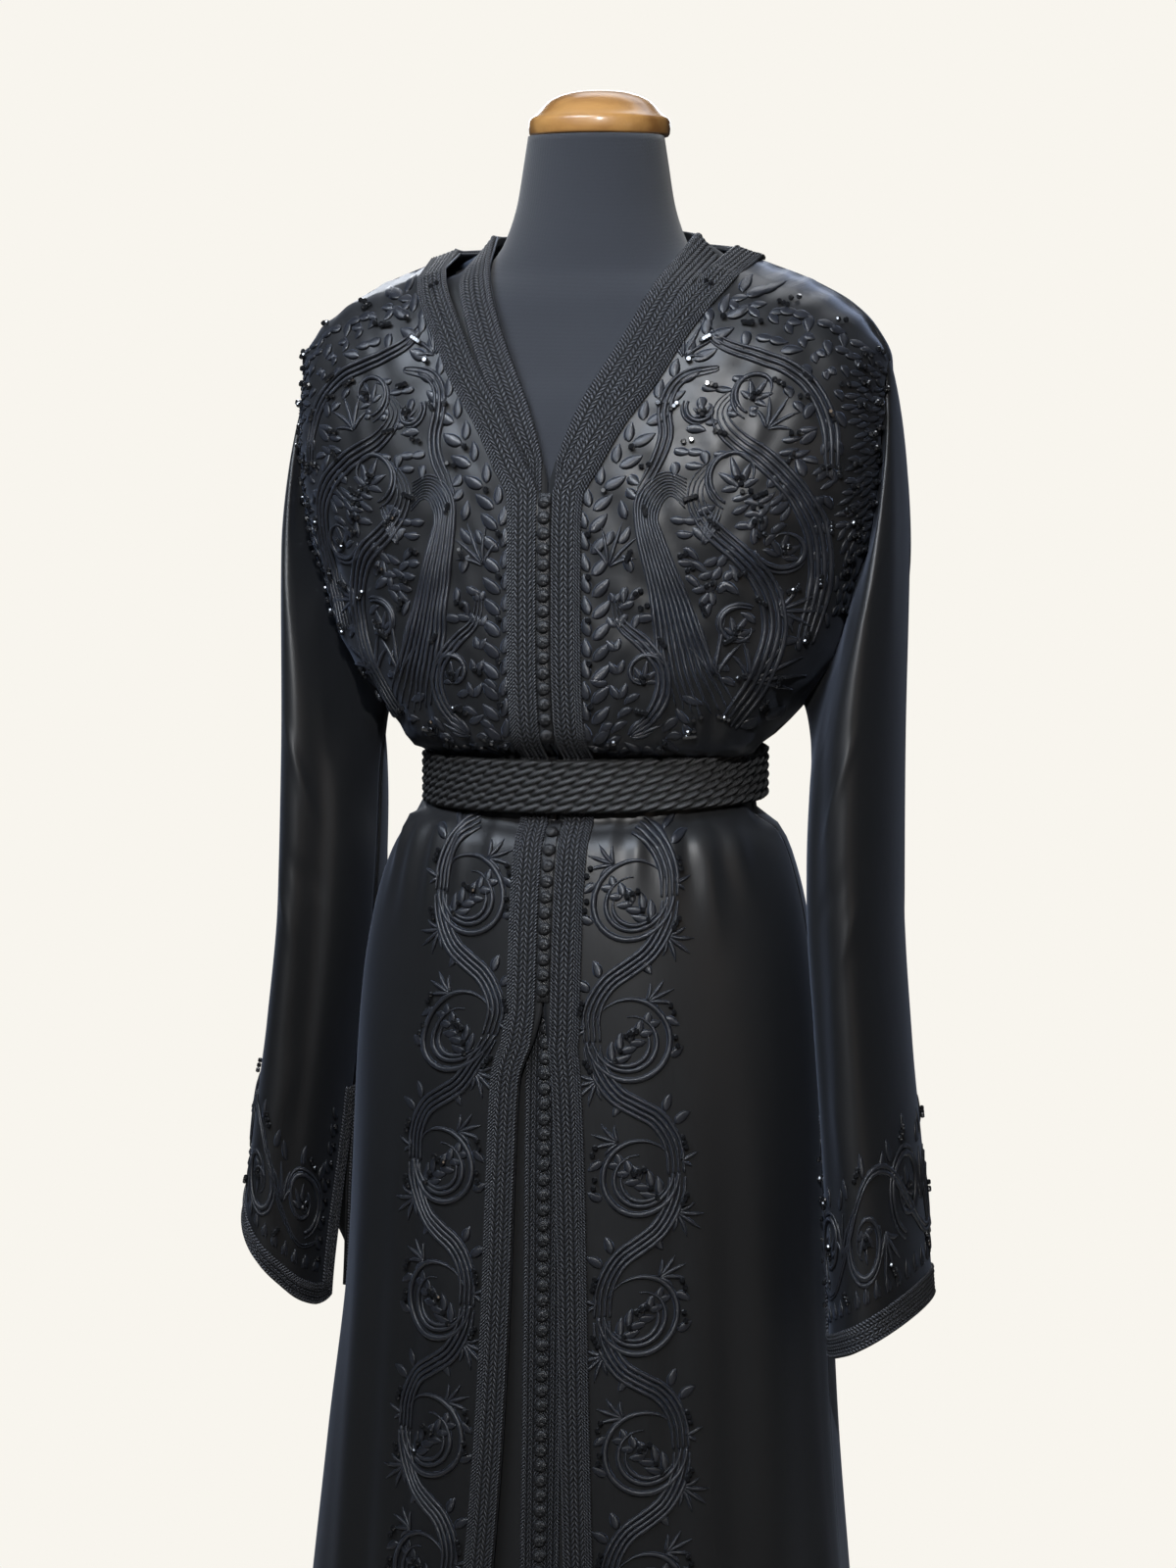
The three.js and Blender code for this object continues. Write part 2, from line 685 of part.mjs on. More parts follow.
// A point of a sleeve: turn runs round it from the underarm seam, place runs down it.
function sleevePoint(side, turn, place) {
  const [, top, under, outer, inner, middle, deep, bow] = SLEEVE_ROWS.map((column) =>
    column(place),
  );
  const own = SLEEVE_SIDE[side];
  const late = place ** 4;
  const high = top + own.top * late;
  const low = under + own.under * late;
  const out = outer + own.out * place;
  const near = inner + own.in * place;
  const angle = Math.PI * (1 - 2 * turn);
  const swing = Math.cos(angle);
  const crease = Math.exp(-(((turn - own.fold) / 0.045) ** 2));
  const swell = Math.exp(-(((turn - own.fold - 0.13) / 0.08) ** 2));
  const fold = ease((place - 0.1) / 0.3) * (1 - 0.6 * ease((place - 0.6) / 0.4));
  const half = (out - near) / 2;
  const press = own.deep * fold * (crease - 0.45 * swell);
  const tube = new THREE.Vector3(
    side * ((out + near) / 2 + half * swing + bow * (1 - swing * swing)),
    middle - (deep - press) * Math.sin(angle),
    (high + low) / 2 + ((high - low) / 2) * swing,
  );
  const rounded = Math.min(turn, 1 - turn) / 0.09;
  tube.z += 16 * ease((place - 0.9) / 0.1) * (1 - clamp01(rounded)) ** 2;
  const start = outerDress.surface(...armhole(side, turn));
  return start.lerp(tube, ease(place / 0.22));
}

// Half of the gap between the two edges of the underarm seam, as a share of a turn.
const sleeveGap = (place) => 0.001 + 0.03 * ease((place - SLIT) / (1 - SLIT)) ** 1.2;

function onSleeve(side, turn, place) {
  const gap = sleeveGap(place);
  const at = mix(gap, 1 - gap, turn);
  const surface = (t, p) => sleevePoint(side, t, p);
  const low = Math.min(Math.max(place, 0.01), 0.995);
  const normal = normalOf(surface, at, low, 0.004, 0.004);
  if (side > 0) normal.negate();
  return { point: surface(at, place), normal };
}

const SLEEVE_PLACES = [0, 0.05, 0.12, 0.21, 0.32, 0.45, 0.59, 0.72, 0.84, 0.93, 1];
const SLEEVE_TURNS = 2 * (ARMHOLE_LEVELS.length - 1);
const sleeves = {};
for (const [side, word] of [
  [-1, "left"],
  [1, "right"],
]) {
  const grid = SLEEVE_PLACES.map((place) => {
    const row = [];
    for (let j = 0; j <= SLEEVE_TURNS; j++) {
      const cell = onSleeve(side, j / SLEEVE_TURNS, place);
      if (place === 0) {
        const [angle, level] = armhole(side, j / SLEEVE_TURNS);
        cell.normal = bodyNormal(outerDress.surface, angle, level);
      }
      row.push(cell);
    }
    return row;
  });
  sleeves[side] = panelOf(`sleeve_${word}`, grid, SATIN);
}

// Braids of the front edges and neck

// Relief across a flat braid: a cord, a low middle of two chevrons, a cord.
const BRAID_SECTION = [
  [0, 1.6],
  [0.13, 2.3],
  [0.5, 1.5],
  [0.87, 2.3],
  [1, 1.6],
];

const SEAM_RISE = 1.8; // how far a braid arches over the shoulder seam
const INNER_SECTION = [
  [0, 1.2],
  [0.5, 1.8],
  [1, 1.2],
];

// A braid along the edge of a front panel and on round the back of the neck to its middle.
function neckBraid(name, dress, side, levels, backTurns, wide, setback, section, faces) {
  const rows = levels.length + backTurns;
  const place = (i, j) => {
    const share = section[j][0];
    if (i < levels.length) {
      const level = levels[i];
      const distance = (setback(level) + wide * share) * slant(dress, side, level);
      return onFront(dress, side, level, distance);
    }
    const turn = (i - levels.length) / (backTurns - 1);
    const angle = mix(RIGHT_ANGLE + 0.004, Math.PI - 0.006, turn);
    let level = dress.neck - 0.3;
    let walked = 0;
    let before = dress.surface(angle, level);
    while (walked < wide * share) {
      level -= 0.25;
      const next = dress.surface(angle, level);
      walked += next.distanceTo(before);
      before = next;
    }
    return { point: before, normal: bodyNormal(dress.surface, side * angle, level) };
  };
  const sided = (i, j) => {
    const cell = place(i, j);
    cell.raise = Math.abs(i - levels.length) < 2 ? SEAM_RISE : 0;
    if (i >= levels.length) cell.point.x = side * Math.abs(cell.point.x);
    return cell;
  };
  return stripOf(name, rows, section.length, sided, (i, j) => section[j][1], faces, CORD);
}

const outerSetback = (level) => {
  const closed = 5.3 - OUTER_EDGE[2](level);
  return level > 880 ? Math.max(closed, 0.4) : 0.4;
};
const innerSetback = (level) => Math.max(4.6 - INNER_EDGE[1](level), 0.4);

const outerFaces = facesOf([outerFronts[-1], outerFronts[1], outerBack]);
const innerFaces = facesOf([innerFronts[-1], innerFronts[1], innerBack]);
const OUTER_BRAID_LEVELS = [
  14, 150, 225, 300, 370, 440, 500, 560, 620, 680, 735, 790, 835, 880, 905, 940, 985, 1010,
  1025, 1048, 1071, 1079, 1088, 1098, 1114, 1130, 1150, 1170, 1191, 1212, 1232, 1243, 1253, 1266,
  1279, 1305, 1331, 1357, 1376, 1393, 1407.9,
];
const INNER_BRAID_LEVELS = [
  30, 130, 230, 330, 430, 515, 600, 675, 750, 815, 880, 950, 985, 1010, 1025, 1048, 1071,
  1100, 1140, 1176, 1212, 1237, 1262, 1288, 1315, 1342, 1370, 1388, 1404, 1419.9,
];
const outerBraids = {};
const innerBraids = {};
for (const [side, word] of [
  [-1, "left"],
  [1, "right"],
]) {
  innerBraids[side] = neckBraid(
    `inner_braid_${word}`, innerDress, side, INNER_BRAID_LEVELS, 7,
    INNER_BRAID_WIDE, innerSetback, INNER_SECTION, innerFaces,
  );
  outerBraids[side] = neckBraid(
    `outer_braid_${word}`, outerDress, side, OUTER_BRAID_LEVELS, 9,
    BRAID_WIDE, outerSetback, BRAID_SECTION, outerFaces,
  );
}

// Cuff braids, round each wrist and up both edges of its slit

const CUFF_WIDE = 14;
const CUFF_AROUND = 370; // length round a cuff
const SLEEVE_LONG = 520; // length along the front of a sleeve

function cuffBraid(name, side, faces) {
  const path = [];
  const slit = [SLIT - 0.01, 0.8, 0.87, 0.93];
  const step = 1 / SLEEVE_TURNS;
  const inTurn = CUFF_WIDE / CUFF_AROUND;
  const inPlace = 1 - CUFF_WIDE / SLEEVE_LONG;
  for (const place of slit) path.push([[0.002, place], [inTurn, place]]);
  path.push([[0.002, 0.999], [inTurn, inPlace]]);
  for (let j = 1; j < SLEEVE_TURNS; j++) path.push([[j * step, 0.999], [j * step, inPlace]]);
  path.push([[0.998, 0.999], [1 - inTurn, inPlace]]);
  for (const place of [...slit].reverse()) path.push([[0.998, place], [1 - inTurn, place]]);
  const at = (i, j) => onSleeve(side, ...path[i][j]);
  stripOf(name, path.length, 2, at, () => 1.8, faces, CORD);
}

const sleeveFaces = { "-1": facesOf([sleeves[-1]]), 1: facesOf([sleeves[1]]) };
cuffBraid("cuff_braid_left", -1, sleeveFaces[-1]);
cuffBraid("cuff_braid_right", 1, sleeveFaces[1]);

// Raised corded embroidery: flat drawings, joined to one outline and laid on the cloth

const { CrossSection } = wasm;
const CORDING_WIDE = 3.2;
const CORDING_HIGH = 1.1;
const EMBROIDERY_LIFT = 0.6;

// A line of points drawn with a width that narrows to its end.
function ribbon(points, wide, tip = 1) {
  const left = [];
  const right = [];
  points.forEach(([x, y], i) => {
    const [ax, ay] = points[Math.max(i - 1, 0)];
    const [bx, by] = points[Math.min(i + 1, points.length - 1)];
    const long = Math.hypot(bx - ax, by - ay);
    const half = 0.5 * wide * mix(1, tip, i / (points.length - 1));
    const [nx, ny] = [(-(by - ay) / long) * half, ((bx - ax) / long) * half];
    left.push([x + nx, y + ny]);
    right.unshift([x - nx, y - ny]);
  });
  return [...left, ...right];
}

// A pointed leaf from its root, so long and wide, towards an angle.
function leaf([x, y], long, wide, angle) {
  const [c, s] = [Math.cos(angle), Math.sin(angle)];
  const at = (along, across) => [x + c * along - s * across, y + s * along + c * across];
  return [at(-1, 0), at(0.4 * long, -0.5 * wide), at(long, 0), at(0.4 * long, 0.5 * wide)];
}

// A curl that winds inwards from a start, turning one way or the other.
function curl([x, y], radius, heading, way, steps, sweep = 4.4) {
  const points = [[x, y]];
  const [cx, cy] = [x - way * radius * Math.sin(heading), y + way * radius * Math.cos(heading)];
  const first = Math.atan2(y - cy, x - cx);
  for (let i = 1; i <= steps; i++) {
    const turn = first + (way * sweep * i) / steps;
    const size = radius * (1 - (0.42 * i) / steps);
    points.push([cx + size * Math.cos(turn), cy + size * Math.sin(turn)]);
  }
  return points;
}

// Joins flat outlines, thickens them and lays them on the cloth.
function embroidery(name, outlines, place, faces) {
  const flat = CrossSection.union(outlines.map((outline) => new CrossSection([outline], "NonZero")));
  const raised = flat.simplify(0.25).extrude(CORDING_HIGH).getMesh();
  const cells = [];
  const cellOf = new Map();
  const corner = [];
  const high = [];
  for (let i = 0; i < raised.numVert; i++) {
    const [x, y, z] = raised.vertProperties.slice(i * raised.numProp, i * raised.numProp + 3);
    const key = `${x.toFixed(3)} ${y.toFixed(3)}`;
    if (!cellOf.has(key)) {
      cellOf.set(key, cells.length);
      const cell = place(x, y);
      cell.base = (clothHeight(cell.point, cell.normal, faces) ?? 0) + EMBROIDERY_LIFT;
      cells.push(cell);
    }
    corner.push(cellOf.get(key));
    high.push(z);
  }
  const order = [...raised.triVerts];
  const triangles = [];
  for (let i = 0; i < order.length; i += 3) {
    const triangle = [0, 1, 2].map((k) => order[i + k]);
    if (triangle.some((vertex) => high[vertex] > 0)) continue;
    triangles.push(triangle.map((vertex) => corner[vertex]));
  }
  settle(cells, triangles, faces, EMBROIDERY_LIFT);
  const positions = corner.flatMap((cell, i) => {
    const { point, normal, base } = cells[cell];
    const at = point.clone().addScaledVector(normal, base + high[i]);
    return [at.x, at.y, at.z];
  });
  meshOf(name, positions, order, CORD);
}

const VINE_REPEAT = 190;
const VINE_MIDDLE = 57; // distance of the vine from the panel's edge
const VINE_SWING = 15;
const VINE_TOP = 1019;
const VINE_END = 44;

const vineAt = (level) => [
  VINE_MIDDLE - VINE_SWING * Math.sin((2 * Math.PI * (VINE_TOP - level)) / VINE_REPEAT),
  level,
];

// A running vine with a curl on each side of every wave, and leaves between them.
function skirtVine() {
  const stem = [];
  for (let level = VINE_TOP; level > VINE_END; level -= VINE_REPEAT / 8) stem.push(vineAt(level));
  const outlines = [ribbon(stem, CORDING_WIDE * 1.15)];
  for (let wave = 0; wave * VINE_REPEAT < VINE_TOP - VINE_END - 150; wave++) {
    const top = VINE_TOP - wave * VINE_REPEAT;
    outlines.push(ribbon(curl(vineAt(top - 24), 17, -1.2, 1, 5), CORDING_WIDE, 0.6));
    outlines.push(ribbon(curl(vineAt(top - 118), 17, -1.95, -1, 5), CORDING_WIDE, 0.6));
    outlines.push(leaf(vineAt(top - 71), 21, 8, -0.5), leaf(vineAt(top - 166), 21, 8, Math.PI + 0.5));
  }
  return outlines;
}

// A branching spray over the chest and shoulder: roots, size, heading and way of each curl.
const BODICE_STEM = [
  [56, 1084], [66, 1112], [58, 1140], [46, 1168], [54, 1196], [74, 1220], [80, 1248], [66, 1276],
  [58, 1304], [70, 1332], [80, 1360], [62, 1384],
];
const BODICE_CURLS = [
  [0, 20, 0.6, 1],
  [2, 17, 2.6, -1],
  [3, 17, 0.4, 1],
  [6, 23, 0.9, -1],
  [7, 15, 2.5, -1],
  [9, 16, 0.2, 1],
];
const BODICE_LEAVES = [
  [1, 24, 9, -0.2],
  [4, 26, 10, 2.6],
  [5, 28, 10, -0.4],
  [8, 24, 9, 2.7],
  [10, 20, 8, 0.1],
];

function bodiceSpray() {
  const outlines = [ribbon(BODICE_STEM, CORDING_WIDE * 1.2)];
  for (const [root, radius, heading, way] of BODICE_CURLS) {
    outlines.push(ribbon(curl(BODICE_STEM[root], radius, heading, way, 5), CORDING_WIDE, 0.6));
  }
  for (const [root, long, wide, heading] of BODICE_LEAVES) {
    outlines.push(leaf(BODICE_STEM[root], long, wide, heading));
  }
  return outlines;
}

// A wavy vine round each cuff above its braid.
function cuffVine() {
  const stem = [];
  for (let x = 38; x <= 332; x += 21) stem.push([x, 50 + 13 * Math.sin((x - 38) / 21)]);
  const outlines = [ribbon(stem, CORDING_WIDE)];
  for (let i = 2; i < stem.length - 1; i += 3) outlines.push(leaf(stem[i], 20, 8, i % 2 ? 1.9 : 1.2));
  return outlines;
}

for (const [side, word] of [
  [-1, "left"],
  [1, "right"],
]) {
  const faces = facesOf([outerFronts[side]]);
  const onPanel = (x, y) => onFront(outerDress, side, y, x);
  const onCuff = (x, y) => onSleeve(side, x / CUFF_AROUND, 1 - y / SLEEVE_LONG);
  embroidery(`embroidery_skirt_${word}`, skirtVine(), onPanel, faces);
  embroidery(`embroidery_bodice_${word}`, bodiceSpray(), onPanel, faces);
  embroidery(`embroidery_cuff_${word}`, cuffVine(), onCuff, sleeveFaces[side]);
}

// Buttons

const ACROSS = [-1, 0, 1];

// A strip of small domed buttons down the middle of a front, on the cloth edges.
function buttonStrip(name, dress, levels, domed, faces, height, rounds) {
  const rows = [];
  for (const level of levels) rows.push([level, 0.9]);
  for (let level = domed.high; level > domed.low; level -= BUTTON_PITCH) {
    rows.push([level - 0.35 * BUTTON_PITCH, rounds > 2 ? 1.8 : 1.2], [level, height]);
    if (rounds > 2) rows.push([level + 0.35 * BUTTON_PITCH, 1.8]);
  }
  rows.sort((p, q) => p[0] - q[0]);
  const place = (i, j) => {
    const level = rows[i][0];
    const distance = (0.5 * BUTTON_STRIP - 0.6) * ACROSS[j];
    const angle = Math.sign(distance) * angleAt(dress, Math.abs(distance), level);
    return { point: dress.surface(angle, level), normal: bodyNormal(dress.surface, angle, level) };
  };
  const relief = (i, j) => (ACROSS[j] === 0 ? rows[i][1] : Math.min(rows[i][1], 1.6));
  return stripOf(name, rows.length, ACROSS.length, place, relief, faces, CORD, LIFT + 0.1);
}

const outerFrontFaces = facesOf([outerFronts[-1], outerFronts[1]]);
const innerFrontFaces = facesOf([innerFronts[-1], innerFronts[1]]);
buttonStrip(
  "outer_buttons_upper", outerDress, [1080, FRONT_TOP],
  { low: 1084, high: 1244 }, outerFrontFaces, 4, 3,
);
buttonStrip(
  "outer_buttons_lower", outerDress, [FRONT_END - 2, 1024],
  { low: FRONT_END, high: 1016 }, outerFrontFaces, 4, 3,
);
buttonStrip(
  "inner_buttons", innerDress, [60, 200, 370, 480, 530, 840, 890, 930],
  { low: 545, high: 800 }, innerFrontFaces, 3.2, 2,
);

// Belt

const BELT_THICK = 5;
const BELT_TILT = 0.022; // the right-hand end sits higher
const BELT_TURNS = 54;
const BELT_ROWS = 9;
const BELT_INNER = { wide: 120, ahead: 102.4, behind: 100 };

function beltPoint(angle, up, out) {
  const { wide, ahead, behind } = BELT_INNER;
  const c = Math.cos(angle);
  const x = (wide + out) * Math.sin(angle);
  const y = c > 0 ? -(ahead + out) * c : -(behind + out) * c;
  return new THREE.Vector3(x, y, mix(BELT_LOW, BELT_HIGH, up) + BELT_TILT * x);
}

// Four plaited ridges run round the outside of the belt.
const beltRelief = (i, j) => {
  const edge = j === 0 || j === BELT_ROWS - 1 ? -1.4 : 0;
  const slanted = (i + Math.floor(j / 2)) % 2 ? 0.35 : -0.35;
  return BELT_THICK + edge + (j % 2 ? 0.9 + slanted : -0.5);
};
const beltSections = turnAngles(BELT_TURNS).map((angle, i) => {
  const section = [beltPoint(angle, 1, 0), beltPoint(angle, 0, 0)];
  for (let j = 0; j < BELT_ROWS; j++) {
    section.push(beltPoint(angle, j / (BELT_ROWS - 1), beltRelief(i, j)));
  }
  return section;
});
ringedBody("belt", beltSections, CORD, true);

// A narrow wrapped keeper over the join at the middle of the back.
const KEEPER_HALF = 0.075; // half its width, as an angle
const keeperOut = BELT_THICK + 1.9;
const keeperGrid = (extra) =>
  [-1, -0.5, 0.5, 1].map((across) =>
    [-0.03, 0, 0.5, 1, 1.03].map((up) =>
      beltPoint(Math.PI + KEEPER_HALF * across, up, keeperOut + extra * (Math.abs(across) < 1 ? 1 : 0.6)),
    ),
  );
wallOf("belt_keeper", keeperGrid(2.4), keeperGrid(0), CORD);

// Dress form

const FORM_TURNS = 18;
const FORM_PADDING = 1; // fills the form out until the inner dress rests on it
const formRings = FORM_ROWS.map(([level]) =>
  turnAngles(FORM_TURNS).map((angle) => {
    const padding = level > 760 && level < 1440 ? FORM_PADDING : 0;
    return formBody(angle, level).addScaledVector(bodyNormal(formBody, angle, level), padding);
  }),
);
ringedBody("form_torso", formRings, FORM_CLOTH);

// A turned piece: each row gives its height and radius, about an upright axis.
const turned = (rows, middle, turns, stretch = 1) =>
  rows.map(([height, radius]) =>
    turnAngles(turns).map(
      (angle) =>
        new THREE.Vector3(
          radius * Math.sin(angle),
          middle - radius * stretch * Math.cos(angle),
          height,
        ),
    ),
  );

const NECK_MIDDLE = 11.5; // the neck leans this far back
const CAP_ROWS = [
  [1497.3, 47],
  [1499, 49.5],
  [1508, 50],
  [1510.5, 47.5],
  [1514, 43],
  [1521, 37],
  [1526, 28],
  [1529, 15],
];
ringedBody("form_cap", turned(CAP_ROWS, NECK_MIDDLE, 18, 0.97), WOOD);

const POLE_RADIUS = 14;
const POLE_MIDDLE = 4;
const BASE_ROWS = [
  [0, 158],
  [3, 160],
  [9, 160],
  [12, 156],
  [14, 60],
  [20, 34],
  [46, 26],
  [50, 23],
];
ringedBody("form_base", turned(BASE_ROWS, POLE_MIDDLE, 20), STEEL);
ringedBody(
  "form_pole",
  turned([[50.3, POLE_RADIUS], [734.7, POLE_RADIUS]], POLE_MIDDLE, 12),
  STEEL,
);

// The origin lies on the floor, midway across the whole part's width and depth.
const whole = new THREE.Box3().setFromObject(group);
group.position.set(-(whole.min.x + whole.max.x) / 2, -(whole.min.y + whole.max.y) / 2, 0);

export default group;
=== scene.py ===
import bpy
import numpy as np
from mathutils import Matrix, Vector


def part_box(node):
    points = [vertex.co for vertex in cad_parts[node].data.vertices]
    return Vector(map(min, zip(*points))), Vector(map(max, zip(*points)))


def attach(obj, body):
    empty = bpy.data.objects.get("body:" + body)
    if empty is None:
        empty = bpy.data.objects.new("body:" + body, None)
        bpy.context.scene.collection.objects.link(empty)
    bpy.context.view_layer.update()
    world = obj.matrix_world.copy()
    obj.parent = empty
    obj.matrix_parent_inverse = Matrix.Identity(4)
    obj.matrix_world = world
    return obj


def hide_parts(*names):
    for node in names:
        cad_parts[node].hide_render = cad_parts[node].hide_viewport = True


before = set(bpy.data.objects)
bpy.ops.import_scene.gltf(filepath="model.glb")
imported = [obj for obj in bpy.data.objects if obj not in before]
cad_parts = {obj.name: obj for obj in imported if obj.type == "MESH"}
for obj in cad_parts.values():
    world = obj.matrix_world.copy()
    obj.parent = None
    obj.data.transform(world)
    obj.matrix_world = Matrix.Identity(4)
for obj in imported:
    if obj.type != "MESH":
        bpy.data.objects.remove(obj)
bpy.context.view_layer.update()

print("nodes in the frame:", len(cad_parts))

# %% [markdown]
# The gown is measured in millimetres from an upright axis through the body. The part's origin
# lies midway across its whole width and depth, so the two differ by a small step. The pole of
# the stand shows that step: its middle is 4 mm behind the body's axis.
# %% Units and the step to the part's origin
MM = 0.001
POLE_MIDDLE = 4.0
pole_low, pole_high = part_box("form_pole")
SHIFT = np.array([
    (pole_low.x + pole_high.x) / 2 / MM,
    (pole_low.y + pole_high.y) / 2 / MM - POLE_MIDDLE,
    0.0,
])
print("step to the origin, mm:", SHIFT.round(2))

# %% [markdown]
# The camera stands 2.6 m away, a little to the wearer's left, at the height of the face, and
# looks down slightly. A long lens keeps the gown's lines straight. It is set up first because
# it decides how fine each detail has to be: here one pixel covers about 0.7 mm.
# %% Camera
CAMERA_TURN = np.radians(16)
CAMERA_FAR = 2600.0
CAMERA_HIGH = 1310.0
AIM_HIGH = 1040.0
AIM_LEFT = 5.0
LENS, SENSOR = 84, 36


def add_camera():
    """A camera on a circle round the aim point: aim plus distance times the unit direction."""
    right = np.array([np.cos(CAMERA_TURN), np.sin(CAMERA_TURN), 0])
    back = np.array([np.sin(CAMERA_TURN), -np.cos(CAMERA_TURN), 0])
    aim = SHIFT - AIM_LEFT * right
    place = Vector((aim + CAMERA_FAR * back + [0, 0, CAMERA_HIGH]) * MM)
    target = Vector((aim + [0, 0, AIM_HIGH]) * MM)
    data = bpy.data.cameras.new("camera")
    data.lens, data.sensor_width = LENS, SENSOR
    camera = bpy.data.objects.new("camera", data)
    bpy.context.collection.objects.link(camera)
    camera.location = place
    camera.rotation_euler = (target - place).to_track_quat("-Z", "Y").to_euler()
    bpy.context.scene.camera = camera
    return camera


print("camera at", tuple(round(v, 3) for v in add_camera().location))

# %% [markdown]
# Black satin is drawn by its reflections, so the lights matter as much as the cloth. A wide
# cool light hangs above and in front, as a shop's ceiling lights would, with a narrow beam
# that leaves the skirt dark. A weak warm light fills from one side, a small one puts sparks
# on the beads, and two more light the floor and the back.
# %% Lights
def add_light(name, place, target, size, power, colour, spread=180):
    """A flat light that faces its target, with its own -Z axis; spread is its beam in degrees."""
    data = bpy.data.lights.new(name, "AREA")
    data.shape = "RECTANGLE"
    data.size, data.size_y = size
    data.energy = power
    data.spread = np.radians(spread)
    data.color = colour
    light = bpy.data.objects.new(name, data)
    bpy.context.collection.objects.link(light)
    light.location = place
    way = Vector(target) - Vector(place)
    light.rotation_euler = way.to_track_quat("-Z", "Y").to_euler()


# name, place, target, width and height, watts, colour, beam
LIGHTS = [
    ("ceiling", (-0.45, -1.15, 2.45), (0, 0, 1.28), (1.5, 0.5), 6.2, (0.78, 0.87, 1.0), 58),
    ("front", (-1.3, -3.2, 1.9), (0, 0, 1.35), (0.7, 0.7), 0.6, (0.9, 0.94, 1.0), 90),
    ("warm_side", (2.5, -1.4, 1.3), (0, 0, 0.9), (0.5, 0.9), 2.2, (1.0, 0.80, 0.62)),
    ("spark", (0.6, -2.4, 2.4), (0, 0, 1.2), (0.06, 0.06), 7, (1.0, 1.0, 1.0), 70),
    ("overhead", (0.0, 1.5, 3.2), (0, 1.1, 0), (1.8, 1.2), 20, (0.92, 0.95, 1.0)),
    ("behind", (-0.7, 2.3, 2.0), (0, 0, 1.0), (1.4, 0.7), 22, (0.9, 0.94, 1.0)),
]
for row in LIGHTS:
    add_light(*row)
print("lights:", len(LIGHTS))

# %% [markdown]
# A material is a small machine of nodes. Wiring them one by one is long to read, so a wire
# here can be added, multiplied and raised like a number. Each sum then makes its own Math
# node, and a formula in the script looks like the formula on paper.
# %% Wires that do arithmetic
class Wire:
    """A value or vector on its way through a material's nodes."""

    def __init__(self, paint, socket):
        self.paint = paint
        self.socket = socket

    def math(self, kind, *others):
        node = self.paint.tree.nodes.new("ShaderNodeMath")
        node.operation = kind
        for slot, value in zip(node.inputs, (self, *others)):
            self.paint.plug(slot, value)
        return Wire(self.paint, node.outputs[0])

    def __add__(self, other): return self.math("ADD", other)
    def __sub__(self, other): return self.math("SUBTRACT", other)
    def __mul__(self, other): return self.math("MULTIPLY", other)
    def __truediv__(self, other): return self.math("DIVIDE", other)
    def __pow__(self, other): return self.math("POWER", other)
    def __radd__(self, other): return self + other
    def __rsub__(self, other): return self * -1.0 + other


# %% [markdown]
# The paint box below holds one material. It knows five kinds of step: read the piece's own
# place or map, make any node, scatter noise, mix two colours, and raise a relief. What is the
# same all over a surface is set straight on the shader.
# %% A paint box for one material
class Paint:
    """A material with its main shader, and short ways to make the nodes that feed it."""

    def __init__(self, name, **shared):
        self.material = bpy.data.materials.new(name)
        self.material.use_nodes = True
        self.tree = self.material.node_tree
        self.shader = self.tree.nodes["Principled BSDF"]
        for label, value in shared.items():
            self.shader.inputs[label.replace("_", " ")].default_value = value

    def plug(self, slot, value):
        if isinstance(value, Wire):
            self.tree.links.new(value.socket, slot)
        else:
            slot.default_value = value

    def node(self, kind, settings=None, out=0, **inputs):
        """Any node: its type, its settings, and its inputs by name."""
        node = self.tree.nodes.new(kind)
        for label, value in (settings or {}).items():
            setattr(node, label, value)
        for label, value in inputs.items():
            slots = [s for s in node.inputs if s.name.replace(" ", "_") == label and s.enabled]
            self.plug(slots[0], value)
        return Wire(self, node.outputs[out])

    def place(self, scale=(1, 1, 1), turn=(0, 0, 0), source="Object"):
        """The piece's own coordinates, stretched and turned."""
        out = ["Generated", "Normal", "UV", "Object"].index(source)
        read = self.node("ShaderNodeTexCoord", out=out)
        return self.node("ShaderNodeMapping", Vector=read, Scale=scale, Rotation=turn)

    def split(self, vector):
        node = self.tree.nodes.new("ShaderNodeSeparateXYZ")
        self.plug(node.inputs[0], vector)
        return [Wire(self, slot) for slot in node.outputs]

    def map_in_mm(self):
        """The piece's UV map, across and along, in millimetres."""
        return self.split(self.place(scale=(1000, 1000, 1), source="UV"))[:2]

    def noise(self, vector, detail, scale=1.0):
        return self.node("ShaderNodeTexNoise", Vector=vector, Scale=scale, Detail=detail, Roughness=0.5)

    def grains(self, count, detail):
        """Noise with so many grains to the metre, the same in all directions."""
        return self.noise(self.place(scale=(count, count, count)), detail)

    def streaks(self, across, along, detail):
        """Noise on the map, with its own count of grains to the metre each way."""
        return self.noise(self.place(scale=(across, along, 1), source="UV"), detail)

    def mix(self, factor, first, second):
        node = self.tree.nodes.new("ShaderNodeMix")
        node.data_type = "RGBA"
        for number, value in ((0, factor), (6, first), (7, second)):
            self.plug(node.inputs[number], value)
        return Wire(self, node.outputs[2])

    def relief(self, height, distance, strength=1.0, below=None):
        inputs = {"Height": height, "Distance": distance, "Strength": strength}
        if below is not None:
            inputs["Normal"] = below
        return self.node("ShaderNodeBump", **inputs)

    def done(self, **fed):
        for label, value in fed.items():
            self.plug(self.shader.inputs[label.replace("_", " ")], value)
        return self.material


def grey(value, blue):
    """A neutral colour, a little bluer or warmer than grey."""
    return (value, value * (0.5 + 0.5 * blue) ** 0.5, value * blue, 1.0)


